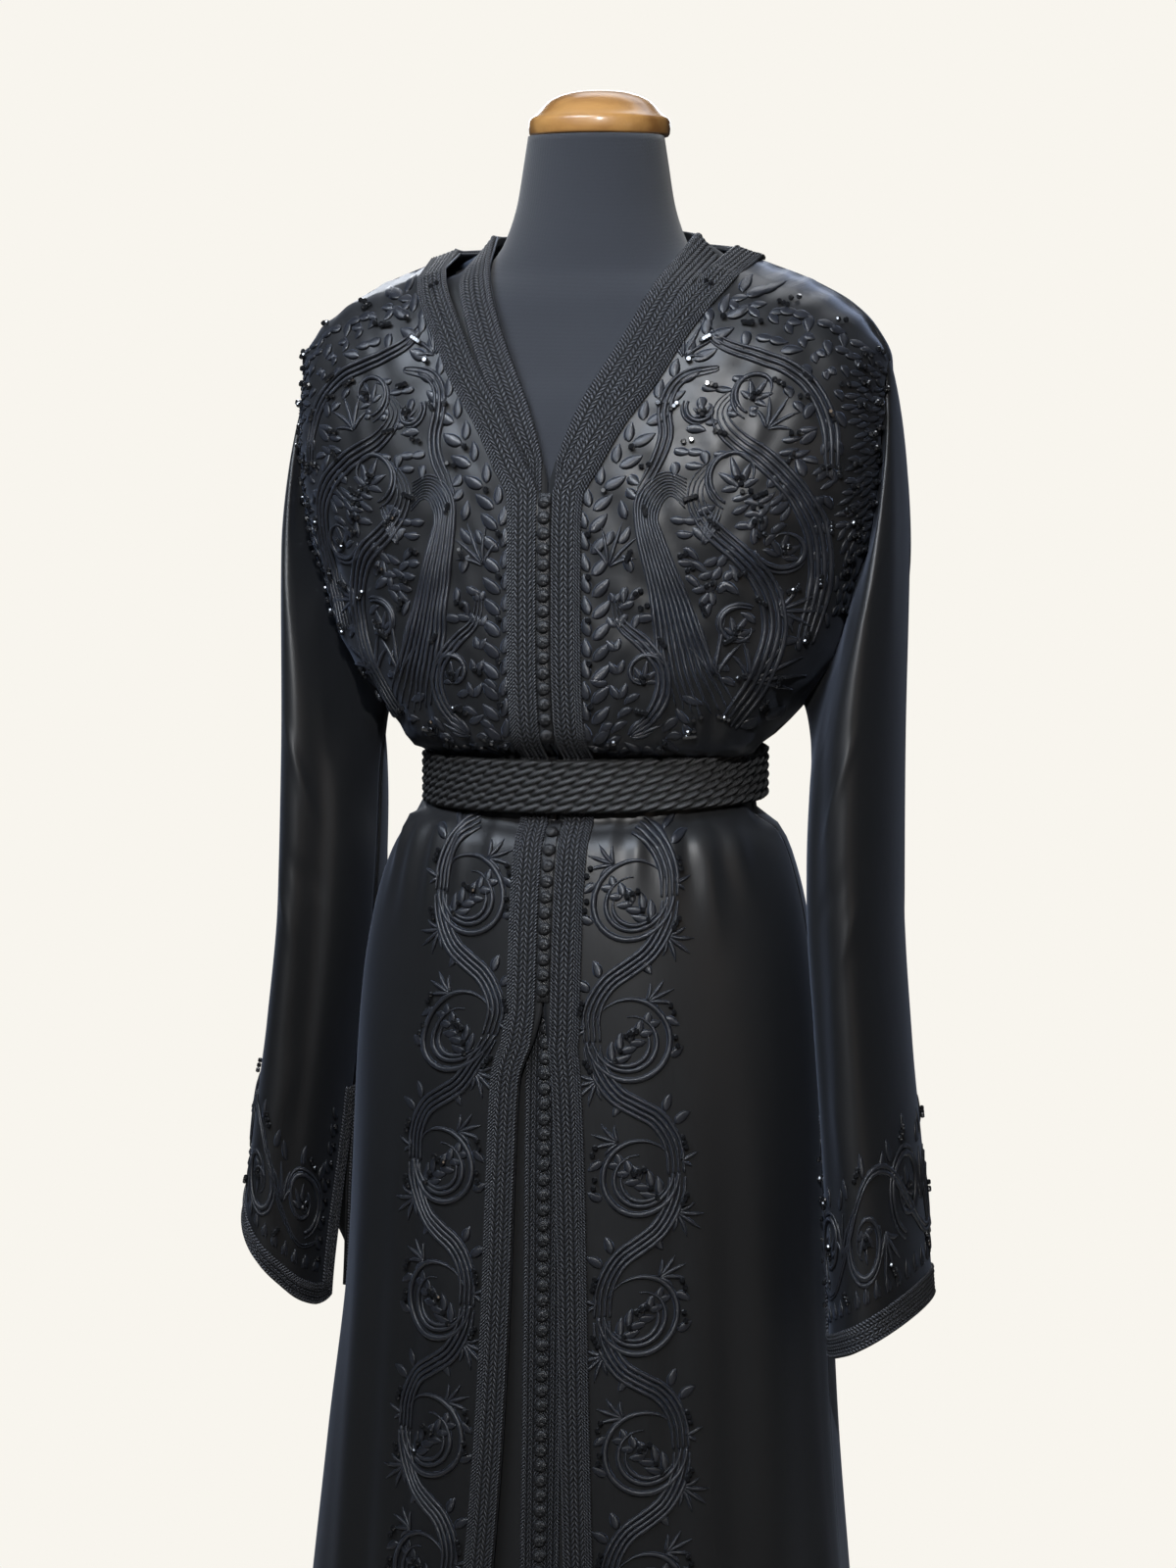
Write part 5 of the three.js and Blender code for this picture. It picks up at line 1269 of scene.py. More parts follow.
def button_row(name, dress, strip, knots, high, node):
    """A narrow strip between two levels, and knots from the upper level down to the lower."""
    trim = Trim()
    across = np.array([-STRIP_WIDE, -3.9, -2, 0, 2, 3.9, STRIP_WIDE])[None, :]
    level = np.linspace(*strip, max(int((strip[1] - strip[0]) / 4), 8))[:, None]
    point, normal = middle_places(dress, level, across)
    edge = np.where(np.abs(across) > 4, 0.5, 0.95)
    trim.strip(point, normal, edge + 0 * level, across + STRIP_WIDE, level - strip[0])
    centres = np.arange(knots[1], knots[0] - 0.1, -BUTTON_PITCH)
    place, facing = middle_places(dress, centres, np.zeros(len(centres)))
    up = unit(middle_places(dress, centres + 2, np.zeros(len(centres)))[0] - place)
    right = np.cross(up, facing)
    shape, maps = knot_template(high)
    points = (place + facing * (LIFT + 0.85))[:, None]
    for k, way in enumerate((right, up, facing)):
        points = points + way[:, None] * shape[None, :, k:k + 1]
    first = trim.count + np.arange(len(centres))[:, None, None] * len(shape)
    quads, ends = knot_faces()
    quads, ends = (quads[None] + first).reshape(-1, 4), (ends[None] + first).reshape(-1, KNOT_TURNS)
    trim.add(points.reshape(-1, 3), quads, np.tile(maps, (len(centres), 1)))
    trim.faces.append(ends)
    print(f"{name}: {len(centres)} knots")
    trim.make(name, knot_paint, node)


button_row("chest_knots", outer_dress, (1080, 1250), (1084, 1244), 4.0, "outer_buttons_upper")
button_row("hip_knots", outer_dress, (903, 1024), (905, 1016), 4.0, "outer_buttons_lower")
button_row("skirt_knots", inner_dress, (60, 930), (66, 926), 3.2, "inner_buttons")

# %% [markdown]
# The belt is a wide plait of hard twisted cords. Seen close, each cord climbs to the right
# over its neighbours, dives under and comes up again one row higher. The mesh is one ring of
# heights, where every visible stretch of cord is a long slanted half-round lobe.
# %% Belt
BELT_LOW, BELT_HIGH = 1030.0, 1067.0
BELT_WIDE = BELT_HIGH - BELT_LOW
BELT_TILT = 0.022
BELT_THICK = 5.0
BELT_COLS, BELT_MARKS = 680, 44


def belt_point(angle, up, out):
    """An ellipse with its own depth in front and behind, climbing a little to the right."""
    s, c = np.sin(angle), np.cos(angle)
    depth = np.where(c > 0, 102.4, 100.0) + out
    x = (120 + out) * s
    y = -depth * c
    z = mix(BELT_LOW, BELT_HIGH, up) + BELT_TILT * x
    return np.stack(np.broadcast_arrays(x, y, z), -1)


CORD_ROWS = 6
LOBE_LONG, LOBE_HALF, LOBE_STEP = 9.6, 1.95, 12.4
LOBE_SLANT = np.radians(15)
ROW_SHIFT = 5.1  # how far each row of lobes starts after the one below it
UNDER_LONG, UNDER_HALF = 5.0, 1.7  # the short stretches that dive the other way between them


def belt_height(s, t):
    """Highest of all lobes over a place s round and t up: each an ellipse's square root."""
    pitch, step = BELT_WIDE / CORD_ROWS, LOBE_STEP
    height = np.zeros(np.broadcast(s, t).shape)
    for row in range(-1, CORD_ROWS + 1):
        middle, shift = (row + 0.5) * pitch, row * ROW_SHIFT
        for back in (-1, 0, 1):
            u = (s - shift) / step
            centre = (np.floor(u) + 0.5 + back) * step + shift
            a = (s - centre) * np.cos(LOBE_SLANT) + (t - middle) * np.sin(LOBE_SLANT)
            b = (t - middle) * np.cos(LOBE_SLANT) - (s - centre) * np.sin(LOBE_SLANT)
            b = b - 0.9 * (a / LOBE_LONG) ** 2 * np.sign(a)
            along = np.clip(1 - (a / LOBE_LONG) ** 2, 0, 1)
            lobe = np.sqrt(np.clip(1 - (b / LOBE_HALF) ** 2, 0, 1)) * along ** 0.45
            height = np.maximum(height, lobe * (0.8 + 0.2 * a / LOBE_LONG))
            u = (s - shift + 0.5 * step) / step
            cross = (np.floor(u) + 0.5 + back) * step + shift - 0.5 * step
            a = (s - cross) * 0.72 - (t - middle - 0.5 * pitch) * 0.69
            b = (s - cross) * 0.69 + (t - middle - 0.5 * pitch) * 0.72
            along = np.clip(1 - (a / UNDER_LONG) ** 2, 0, 1)
            under = np.sqrt(np.clip(1 - (b / UNDER_HALF) ** 2, 0, 1)) * along ** 0.5
            height = np.maximum(height, 0.5 * under)
    return height


def make_belt():
    """One closed ring: the plait's heights outside, three plain rows inside."""
    cols, rows = BELT_COLS, BELT_MARKS
    angle = full_turn(cols)
    ring = belt_point(angle, 0.5, BELT_THICK)
    s = np.linalg.norm(np.diff(ring, axis=0, append=ring[:1]), axis=-1)
    total = s.sum()
    s = (s.cumsum() - s[0]) * (round(total / LOBE_STEP) * LOBE_STEP / total)
    up = np.linspace(0, 1, rows)
    t = up * BELT_WIDE
    height = belt_height(s[:, None], t[None, :])
    rim = ease(np.minimum(up, 1 - up) / 0.05)
    out = 1.6 + (4.5 * height - 0.6 * (1 - rim)) * (0.5 + 0.5 * rim)
    outside = belt_point(angle[:, None], up[None, :], out)
    inside = belt_point(angle[:, None], np.array([1.0, 0.5, 0.0])[None, :], 0.0)
    loop = np.concatenate([outside, inside], axis=1)
    k, size = np.arange(cols), rows + 3
    i, j = k[:, None], np.arange(size)[None, :]
    n, m = (i + 1) % cols, (j + 1) % size
    quads = np.stack([i * size + j, n * size + j, n * size + m, i * size + m], -1).reshape(-1, 4)
    t = np.concatenate([t, [BELT_WIDE, 18.0, 0.0]])
    maps = np.stack(np.broadcast_arrays(s[:, None], t[None, :]), -1)
    # these heights also drive the belt paint's painted shade in the gaps and painted glints on the lobes
    relief = np.concatenate([height * rim, np.zeros((cols, 3))], axis=1)
    make_piece("plaited_belt", loop, [quads], belt_paint, maps, ["belt"], relief=relief)


make_belt()


def make_keeper():
    """A short band wrapped round the join at the middle of the back."""
    across, up = np.linspace(-1, 1, 15)[:, None], np.linspace(-0.03, 1.03, 26)[None, :]
    angle = np.pi + 0.075 * across
    edge = ease((1 - np.abs(across)) / 0.2) * ease((up + 0.03) / 0.05) * ease((1.03 - up) / 0.05)
    ribs = np.abs(np.sin(across * np.pi * 3))
    grid = belt_point(angle, up, 6.9)
    normal = unit(belt_point(angle, up, 8.0) - grid)
    trim = Trim()
    height = 0.6 + (0.9 + 0.7 * ribs) * edge
    trim.strip(grid, normal, height, 9 + 9 * across, BELT_WIDE * up, under=-0.3)
    trim.make("belt_keeper_wrap", knot_paint, "belt_keeper")


make_keeper()

# %% [markdown]
# Raised embroidery is drawn on paper first, as lines: stems, curls, leaves and feathered
# fans. Each line is then padded and covered with satin stitch. Here too every line is drawn
# flat, in millimetres, given a width, a height and tapering ends, and laid on the cloth with
# all the others in one step. The pattern is a plain scrolling vine of this lesson's own.
# %% Lines to stitch
def soften(points, rounds=3):
    """Cuts each corner of a line at a quarter and three quarters, again and again."""
    path = np.array(points, float)
    for _ in range(rounds):
        cuts = np.stack([mix(path[:-1], path[1:], 0.25), mix(path[:-1], path[1:], 0.75)], 1)
        path = np.concatenate([path[:1], cuts.reshape(-1, 2), path[-1:]])
    return path


def spiral(centre, radius, last, start, sweep, count=30):
    """Points whose distance from the centre goes from radius to last while the angle sweeps."""
    t = np.linspace(0, 1, count)
    angle, size = np.radians(start + sweep * t), mix(radius, last, t)
    return np.stack([centre[0] + size * np.cos(angle), centre[1] + size * np.sin(angle)], -1)


def aside(path, distance):
    """A line beside another, to its left, at a distance."""
    way = unit(np.gradient(path, axis=0))
    return path + np.stack([-way[:, 1], way[:, 0]], -1) * np.reshape(distance, (-1, 1))


def evenly(path, step):
    """The same line with corners at equal steps, and how far along each one is."""
    along = np.concatenate([[0], np.linalg.norm(np.diff(path, axis=0), axis=-1).cumsum()])
    marks = np.linspace(0, along[-1], max(int(along[-1] / step) + 1, 5))
    return np.stack([np.interp(marks, along, path[:, k]) for k in (0, 1)], -1), marks


ACROSS_CORD = np.array([-1, -0.75, 0, 0.75, 1])
ACROSS_LEAF = np.array([-1, -0.6, 0, 0.6, 1])
SECTIONS = {
    "cord": (ACROSS_CORD, np.sqrt(1 - ACROSS_CORD ** 2)),
    "leaf": (
        ACROSS_LEAF,
        (1 - ACROSS_LEAF ** 2) ** 0.5 * (1 - 0.5 * np.exp(-(ACROSS_LEAF / 0.22) ** 2)),
    ),
}
STITCH_LIFT = 0.1
FULLER, RAISED = 1.15, 1.25  # how much thread and padding thicken every drawn line
BEAD_FULLER = 1.5  # how much larger a bead is than drawn


class Needlework:
    """Stitched lines and beads in flat coordinates, to be laid on a cloth later."""

    def __init__(self):
        self.grids, self.beads = [], []

    def stitch(self, path, half, high, ends=(0.4, 0.3), form="cord", step=2.2):
        """One line: its section swells in the middle and thins out to both ends."""
        path, marks = evenly(np.asarray(path, float), step)
        way = unit(np.gradient(path, axis=0))
        share = marks / marks[-1]
        if form == "leaf":
            swell = np.maximum(np.sin(np.pi * share ** 0.8) ** 0.75, 0.06)
        else:
            swell = mix(ends[0], 1, ease(share / 0.25)) * mix(ends[1], 1, ease((1 - share) / 0.35))
        across, rise = SECTIONS[form]
        half, high = half * FULLER, high * RAISED
        reach = half * swell[:, None] * across
        x, y = path[:, :1] - way[:, 1:] * reach, path[:, 1:] + way[:, :1] * reach
        height = high * rise * swell[:, None] ** 0.6
        self.grids.append((x, y, height, 3 * across + 0 * reach, marks[:, None] + 0 * reach))

    def leaf(self, root, heading, long, half, high=1.1, bend=0.0):
        """A pointed leaf from its root, bending to one side by an angle on the way."""
        t = np.linspace(0, 1, 12)
        angle = np.radians(heading) + np.radians(bend) * t
        steps = np.stack([np.cos(angle), np.sin(angle)], -1) * long / 11
        path = np.array(root) + np.cumsum(steps, axis=0) - steps[0]
        self.stitch(path, half, high, form="leaf", step=1.8)

    def fan(self, root, heading, spread, count, long, half=1.3, high=1.2, bend=40):
        """Feathered cords from one root, the middle ones longest, their tips turning outwards."""
        for k in np.linspace(-1, 1, count):
            angle = heading + spread * k
            size = long * (1 - 0.35 * k * k)
            t = np.linspace(0, 1, 14)
            turn = np.radians(angle + bend * k * t)
            steps = np.stack([np.cos(turn), np.sin(turn)], -1) * size / 13
            self.stitch(np.array(root) + np.cumsum(steps, axis=0), half, high, (0.35, 0.2))

    def double(self, path, apart, half, high):
        """Two cords side by side that run together at their ends."""
        path, marks = evenly(np.asarray(path, float), 1.6)
        gap = apart * np.sin(np.pi * marks / marks[-1]) ** 0.35
        for way in (-1, 1):
            self.stitch(aside(path, way * gap), half, high)

    def bead_line(self, start, end, count, radius=1.4):
        start, end = np.array(start, float), np.array(end, float)
        for t in np.linspace(0, 1, count):
            self.beads.append([*mix(start, end, t), radius * BEAD_FULLER])

    def bud(self, centre, heading, size):
        """Five leaves from one root below the centre, the middle one longest, with a few beads."""
        centre = np.array(centre, float)
        down = -np.array([np.cos(np.radians(heading)), np.sin(np.radians(heading))])
        for k, turn in enumerate((-64, -30, 0, 30, 64)):
            way = np.radians(heading + turn)
            root = centre + 0.6 * size * down + 0.1 * size * np.array([np.cos(way), np.sin(way)])
            long = size * (0.8, 1.15, 1.45, 1.15, 0.8)[k]
            self.leaf(root, heading + turn, long, size * 0.17, 1.1, turn * 0.5)
        back = np.radians(heading + 180)
        far = centre + 0.3 * size * np.array([np.cos(back), np.sin(back)])
        self.bead_line(centre - [1.6, 0], centre + [1.6, 0.4], 2, 1.35)
        self.bead_line(far, far + [0.6, 1.5], 1, 1.35)

    def spray(self, path, count, long, half, lean=38, start=0.08):
        """Leaves in pairs along a stem, growing shorter to its tip."""
        path, marks = evenly(np.asarray(path, float), 1.0)
        way = np.gradient(path, axis=0)
        for k, share in enumerate(np.linspace(start, 0.96, count)):
            i = int(share * (len(path) - 1))
            heading = np.degrees(np.arctan2(way[i, 1], way[i, 0]))
            size = long * (1 - 0.4 * share)
            for turn in (-lean, lean):
                self.leaf(path[i], heading + turn, size, half, 1.0, -turn * 0.5)

    def shift(self, wobble, phase):
        """Moves every line a little by slow waves, so that two sides are not twins."""
        for x, y, *_ in self.grids:
            dx, dy = wobble * np.sin(y / 31 + phase), wobble * np.sin(x / 27 - phase)
            x += dx
            y += dy

    def sew(self, name, place, node):
        """Lays all lines on the cloth: places, heights, faces and maps joined in one mesh."""
        x, y, height, u, v = (np.concatenate([g[k].ravel() for g in self.grids]) for k in range(5))
        point, normal = place(x, y)
        raised = point + normal * (STITCH_LIFT + height)[:, None]
        rows, cols = self.grids[0][0].shape
        corner = point[:rows * cols].reshape(rows, cols, 3)
        grow = np.cross(np.gradient(corner, axis=1), np.gradient(corner, axis=0))
        turned = float((grow * normal[:rows * cols].reshape(rows, cols, 3)).sum()) < 0
        trim = Trim()
        faces, start = [], 0
        for grid in self.grids:
            rows, cols = grid[0].shape
            ends = np.stack([np.arange(cols)[::-1], np.arange(cols) + (rows - 1) * cols]) + start
            faces += [grid_quads(rows, cols, around=True, first=start), ends]
            start += rows * cols
        trim.add(raised, faces[0], np.stack([u, v], -1))
        trim.faces = [f[:, ::-1] if turned else f for f in faces]
        print(f"{name}: {len(self.grids)} stitched lines, {len(self.beads)} beads")
        trim.make(name, stitch_paint, node)


print("sections across a line:", {name: len(a) for name, (a, _) in SECTIONS.items()})

# %% [markdown]
# Beads are sewn on in twos, threes and short rows, where leaves meet. They are cut glass, so
# a small ball with flat faces is nearer to the real thing than a smooth one, and each face
# throws its own spark. Every bead is the same ball, turned by its own angle.
# %% Beads
BEAD_TURNS = 7
BEAD_RINGS = np.radians([-50, -16, 16, 50])


def sew_beads(name, needlework, place):
    """Copies a faceted ball to every bead's place: rings at four latitudes, flat ends."""
    table = np.array(needlework.beads)
    point, normal = place(table[:, 0], table[:, 1])
    side = unit(np.cross(normal, np.array([0.13, 0.21, 0.97])))
    up = np.cross(normal, side)
    latitude = BEAD_RINGS[:, None]
    own_turn = np.arange(len(table)) * 2.4
    angle = full_turn(BEAD_TURNS)[None, :] + own_turn[:, None, None]
    r = table[:, 2][:, None, None]
    across, along = r * np.cos(latitude) * np.cos(angle), r * np.cos(latitude) * np.sin(angle)
    high = r * (0.95 + np.sin(latitude) * 0.95) + 0 * across + 0.5
    ball = point[:, None, None]
    for way, far in ((side, across), (up, along), (normal, high)):
        ball = ball + way[:, None, None] * far[..., None]
    size = len(BEAD_RINGS) * BEAD_TURNS
    first = np.arange(len(table))[:, None, None] * size
    quads = grid_quads(len(BEAD_RINGS), BEAD_TURNS, around=True)
    ends = np.stack([np.arange(BEAD_TURNS)[::-1], np.arange(size - BEAD_TURNS, size)])
    right_handed = float((np.cross(side, up) * normal).sum()) > 0
    faces = [(quads[None] + first).reshape(-1, 4), (ends[None] + first).reshape(-1, BEAD_TURNS)]
    faces = faces if right_handed else [f[:, ::-1] for f in faces]
    maps = np.zeros((len(table) * size, 2))
    make_piece(name, ball, faces, bead_paint, maps, flat=True)


# %% [markdown]
# The skirt carries a band of scrolls down each front edge. One unit is 95 mm long: a stem of
# four cords in an S, rings that wind inwards round a spray of leaves, and leaves and feathered
# fans outside them. The next unit is its mirror image, and each differs a little in size.
# %% Skirt band
BAND_MIDDLE, BAND_TOP, UNIT = 58.0, 1019.0, 95.0
UNITS = 10


def skirt_unit(work, k):
    """One unit, drawn in x from the band's middle and z down from the unit's own top."""
    top = BAND_TOP - k * UNIT
    way = 1 if k % 2 == 0 else -1
    size = 1 + 0.05 * np.sin(k * 2.1)
    side = 0 if way > 0 else 180

    def at(x, z):
        return [BAND_MIDDLE + way * x, top - z]

    def turned(heading):
        return heading if way > 0 else 180 - heading

    middle = np.array(at(0, 48))
    stem = [at(-26, -44), at(-25, -30), at(-15, -10), at(0, 0), at(15, 9), at(25, 28), at(25.5, 48)]
    stem = soften(stem if k else stem[3:])
    for apart in (-5.4, -1.8, 1.8, 5.4):
        work.stitch(aside(stem, apart), 1.5, 1.6, (0.5, 0.5))
    work.stitch(spiral(middle, 28 * size, 25.5 * size, side, -way * 330, 70), 1.9, 1.9, (0.7, 0.25))
    work.stitch(spiral(middle, 24.2 * size, 15, side, -way * 270, 60), 1.6, 1.6, (0.6, 0.25))
    work.stitch(spiral(middle, 20.6 * size, 12, side - way * 30, -way * 170, 40), 1.4, 1.4)
    work.spray(soften([at(14, 64), at(6, 54), at(-4, 48), at(-15, 38)]), 5, 15, 2.7, 46, 0.05)
    work.fan(at(-13, 24), turned(158), 38, 5, 19, 1.3, 1.3, 40)
    work.fan(at(24, 74), turned(-38), 34, 5, 21, 1.3, 1.3, 44)
    work.fan(at(29, 40), turned(24), 40, 3, 12, 1.2, 1.2, 30)
    work.leaf(at(-25, 36), turned(196), 12, 2.9, 1.2, 26 * way)
    work.leaf(at(-26, 62), turned(165), 12, 2.9, 1.2, -26 * way)
    work.leaf(at(26, 14), turned(48), 14, 3.1, 1.2, -26 * way)
    work.leaf(at(20, 5), turned(82), 13, 3.0, 1.2, -24 * way)
    work.leaf(at(10, 90), turned(-72), 12, 2.8, 1.1, 24 * way)
    work.bead_line(middle + [-3, 3], middle + [4, 6], 3, 1.5)
    work.bead_line(at(31, 22), at(33, 29), 3, 1.4)
    work.bead_line(at(33, 62), at(30, 68), 3, 1.4)
    work.bead_line(at(-29, 26), at(-31, 31), 2, 1.4)
    work.bead_line(at(-30, 48), at(-31, 54), 2, 1.4)
    work.bead_line(at(8, 55), at(12, 62), 2, 1.4)


def on_front(side):
    """A front panel's own paper: x from its edge and y up it, in millimetres."""
    return outer_front[side].beside


for side, word in WORDS.items():
    band = Needlework()
    for k in range(UNITS):
        skirt_unit(band, k)
    band.shift(1.1, 0.8 + side)
    band.sew(f"skirt_vine_{word}", on_front(side), f"embroidery_skirt_{word}")
    sew_beads(f"skirt_beads_{word}", band, on_front(side))

# %% [markdown]
# Chest and shoulder are covered all over. The design is drawn as seen from the front, so a
# place on the drawing has to be found on the cloth: guess the distance from the edge and the
# level, look where that lands, and correct the guess by the miss, fourteen times.
# %% From a front view onto the cloth
def facing(side):
    """Finds the panel's own place behind a place of the front view by correcting a guess."""
    cloth, edge = outer_front[side], outer_dress.edge[side]

    def place(x, z):
        level, distance = np.array(z, float), x - edge(z)
        for _ in range(14):
            point, _ = cloth.beside(distance, level)
            distance = np.clip(distance + (x - side * point[..., 0]), 0, 330)
            level = np.clip(level + (z - point[..., 2]), outer_dress.hem, NECK)
        return distance, level

    return place


probe = np.array(facing(1)(np.array([100.0, 150.0]), np.array([1200.0, 1280.0])))
print("from the edge, and levels, of (100, 1200) and (150, 1280):", probe.round(1).tolist())

# %% [markdown]
# Down each side of the chest runs a row of paired leaves with a bead at every second root.
# Beyond it, a tall plume of combed cords rises from the waist and turns over at the top,
# ribbons of cords wind past open curls that hold buds of five leaves, and sprays, fans and
# single leaves fill the ground up to the armhole and shoulder.
# %% Chest and shoulder
def chest(work, side):
    """The whole design of one side, in x from the middle and z up, as seen from the front."""
    edge = outer_dress.edge[side]
    for k, z in enumerate(np.arange(1082, 1392, 14.5)):
        lean = min(1.8 * 0.55 * (edge(z + 4) - edge(z - 4)) / 8, 1.0)
        x = float(edge(z)) + 31 + 9 * lean
        heading = 62 - 34 * lean
        work.leaf([x - 1, z], heading + 56, 14, 3.3, 1.3, -26)
        work.leaf([x + 1, z - 2], heading - 30, 17, 3.7, 1.3, 22)
        if k % 2 == 0:
            work.bead_line([x, z - 4], [x, z - 4], 1, 1.6)
    # the plume
    for k, spread in enumerate(np.linspace(-1, 1, 9)):
        foot = [103 + 21 * spread, 1098 + 9 * abs(spread)]
        line = [foot, [92 + 16 * spread, 1140], [84 + 11 * spread, 1180], [73 + 8 * spread, 1222],
                [70 + 7 * spread, 1250 - 2 * k], [84 + 2 * spread, 1266 - 1.9 * k], [97, 1258 - 2.4 * k]]
        work.stitch(soften(line, 4), 1.35, 1.5 + 0.3 * (k % 2), (0.3, 0.3))
    # ribbons of cords that lie side by side
    for line, count, gap in (
        ([[118, 1092], [142, 1128], [152, 1168], [140, 1204], [112, 1226], [100, 1250], [112, 1268]],
         4, 3.6),
        ([[166, 1150], [180, 1200], [176, 1244], [150, 1272], [124, 1286], [112, 1304], [124, 1318]],
         4, 3.6),
        ([[188, 1262], [186, 1300], [166, 1330], [134, 1342], [108, 1352], [98, 1370]], 3, 3.4),
        ([[58, 1084], [78, 1104], [82, 1130], [66, 1150], [50, 1162], [48, 1180]], 3, 3.2),
        ([[66, 1248], [84, 1284], [78, 1308], [86, 1330], [112, 1334]], 3, 3.2),
    ):
        line = soften(line, 4)
        spread = np.sin(np.pi * np.linspace(0.12, 1, len(line))) ** 0.6
        for k in np.arange(count) - (count - 1) / 2:
            work.stitch(aside(line, k * gap * (0.25 + 0.9 * spread)), 1.35, 1.6, (0.4, 0.25))
    # open curls round buds
    for x, z, r, start, sweep, heading in (
        (130, 1262, 20, 250, -300, 110), (158, 1216, 17, 190, 290, 70),
        (68, 1128, 14, 20, 280, 80), (138, 1318, 16, 250, -290, 60),
        (104, 1306, 11, 150, 260, 100), (128, 1160, 15, 60, 300, 60),
    ):
        work.stitch(spiral([x, z], r, 0.45 * r, start, sweep, 60), 1.5, 1.8, (0.5, 0.25))
        work.stitch(spiral([x, z - 1], r + 3.2, 0.8 * r, start, 0.5 * sweep, 36), 1.15, 1.3)
        work.bud([x, z - 1], heading, 0.74 * r)
    # sprays and fans
    work.spray(soften([[187, 1318], [188, 1280], [182, 1240], [178, 1200], [172, 1168]]), 8, 13, 2.8)
    work.spray(soften([[108, 1384], [128, 1376], [148, 1368], [166, 1352], [182, 1330]]), 7, 12, 2.7)
    work.spray(soften([[52, 1106], [50, 1130], [46, 1156], [48, 1180]]), 5, 12, 2.6)
    work.spray(soften([[104, 1296], [112, 1300], [120, 1304], [136, 1304]]), 3, 10, 2.4)
    work.fan([133, 1122], 52, 46, 7, 34, 1.25, 1.3, 44)
    work.fan([112, 1124], 92, 26, 4, 44, 1.2, 1.3, 20)
    work.fan([150, 1172], 10, 44, 6, 26, 1.2, 1.3, 50)
    work.fan([146, 1292], 62, 40, 5, 24, 1.2, 1.2, 40)
    work.fan([88, 1342], 66, 46, 5, 24, 1.2, 1.2, 44)
    work.fan([44, 1200], 70, 34, 5, 30, 1.15, 1.2, 40)
    work.fan([56, 1084], 30, 40, 5, 24, 1.15, 1.2, -40)
    work.fan([108, 1214], 66, 22, 5, 28, 1.15, 1.2, -24)
    for x, z, heading in (
        (58, 1232, 120), (52, 1216, 40), (60, 1196, 100), (62, 1164, 20), (60, 1150, -30),
        (104, 1236, 8), (102, 1226, -34), (120, 1206, 30), (118, 1190, -20), (152, 1238, 20),
        (160, 1246, 70), (172, 1262, 100), (150, 1254, 60), (94, 1292, 10), (112, 1350, 120),
        (150, 1344, 20), (170, 1300, 80), (168, 1284, 30), (92, 1112, -40), (88, 1096, 210),
        (124, 1090, 20), (138, 1094, 60), (150, 1150, 20), (156, 1160, 70), (104, 1366, 100),
        (118, 1368, 60), (132, 1386, 20), (96, 1378, 150),
    ):
        work.leaf([x, z], heading, 14, 3.1, 1.2, 28 if x % 4 < 2 else -28)
    for x, z, dx, dz, count in (
        (58, 1206, 3, 7, 4), (70, 1236, -2, 7, 3), (96, 1246, 9, 3, 4), (112, 1232, 7, -6, 3),
        (120, 1290, -8, 2, 3), (140, 1248, 9, 4, 4), (140, 1180, 6, -6, 4), (158, 1184, 8, 3, 3),
        (106, 1176, 3, -8, 3), (120, 1150, 7, 4, 4), (82, 1148, -4, 6, 3), (62, 1104, 8, -2, 4),
        (90, 1086, 9, 1, 5), (112, 1100, 8, -3, 4), (136, 1104, 5, 6, 3), (148, 1120, 3, 7, 3),
        (166, 1150, 3, 7, 3), (176, 1188, 1, 8, 3), (184, 1224, 0, 8, 3), (190, 1262, -1, 8, 3),
        (186, 1300, -3, 7, 3), (172, 1326, -6, 5, 4), (150, 1326, 7, -4, 3),
        (112, 1322, -7, 2, 3), (84, 1306, 5, 5, 3), (100, 1352, 7, 4, 4), (126, 1364, 8, -1, 4),
        (146, 1378, 7, -3, 3), (96, 1392, 5, -3, 2), (160, 1272, 4, 7, 3),
    ):
        work.bead_line([x, z], [x + dx * 0.75, z + dz * 0.75], count, 1.35)


def lay_flat(work, side):
    """Moves every line and bead from the front view to the cloth's own millimetres."""
    find = facing(side)
    for x, y, *_ in work.grids:
        x[:], y[:] = find(x, y)
    for bead in work.beads:
        bead[0], bead[1] = (float(value) for value in find(bead[0], bead[1]))


LEAF_ROW, LEAF_UP, LEAF_CLEAR = 8.8, 9.6, 4.8  # steps of the grid, and room round each leaf
GROUND_WIDE = [[1078, 1110, 1160, 1200], [100, 140, 190, 260]]  # levels, and how far out there


def fill_ground(work, side):
    """Small bent leaves on a slanted grid, only where nothing has been stitched yet."""
    cloth = outer_front[side]
    x, z = np.meshgrid(np.arange(30, 260, LEAF_ROW), np.arange(1078, 1402, LEAF_UP))
    x = x + LEAF_ROW / 2 * (np.arange(len(z)) % 2)[:, None]
    x, z = x.ravel(), z.ravel()
    wide = np.interp(z, cloth.rows, cloth.walk[:, -1]) - 9
    inside = (x > 33) & (x < np.minimum(wide, np.interp(z, *GROUND_WIDE)))
    spots = np.stack([x, z], -1)[inside]
    taken = [np.stack([gx.mean(axis=1), gy.mean(axis=1)], -1) for gx, gy, *_ in work.grids]
    gap = np.sqrt(((spots[:, None] - np.concatenate(taken)[None]) ** 2).sum(axis=-1).min(axis=1))
    for k, (px, pz) in enumerate(spots[gap > LEAF_CLEAR]):
        heading = np.degrees(np.arctan2(1200 - pz + 30 * np.sin(px / 20), px - 96)) + 76
        work.leaf([px, pz - 3], heading, 13, 2.7, 1.2, 46 if k % 3 else -46)
        if k % 4 == 0:
            work.bead_line([px + 2, pz + 3], [px + 6, pz + 5], 2 + k % 2)
    print("leaves in the ground:", int((gap > LEAF_CLEAR).sum()))


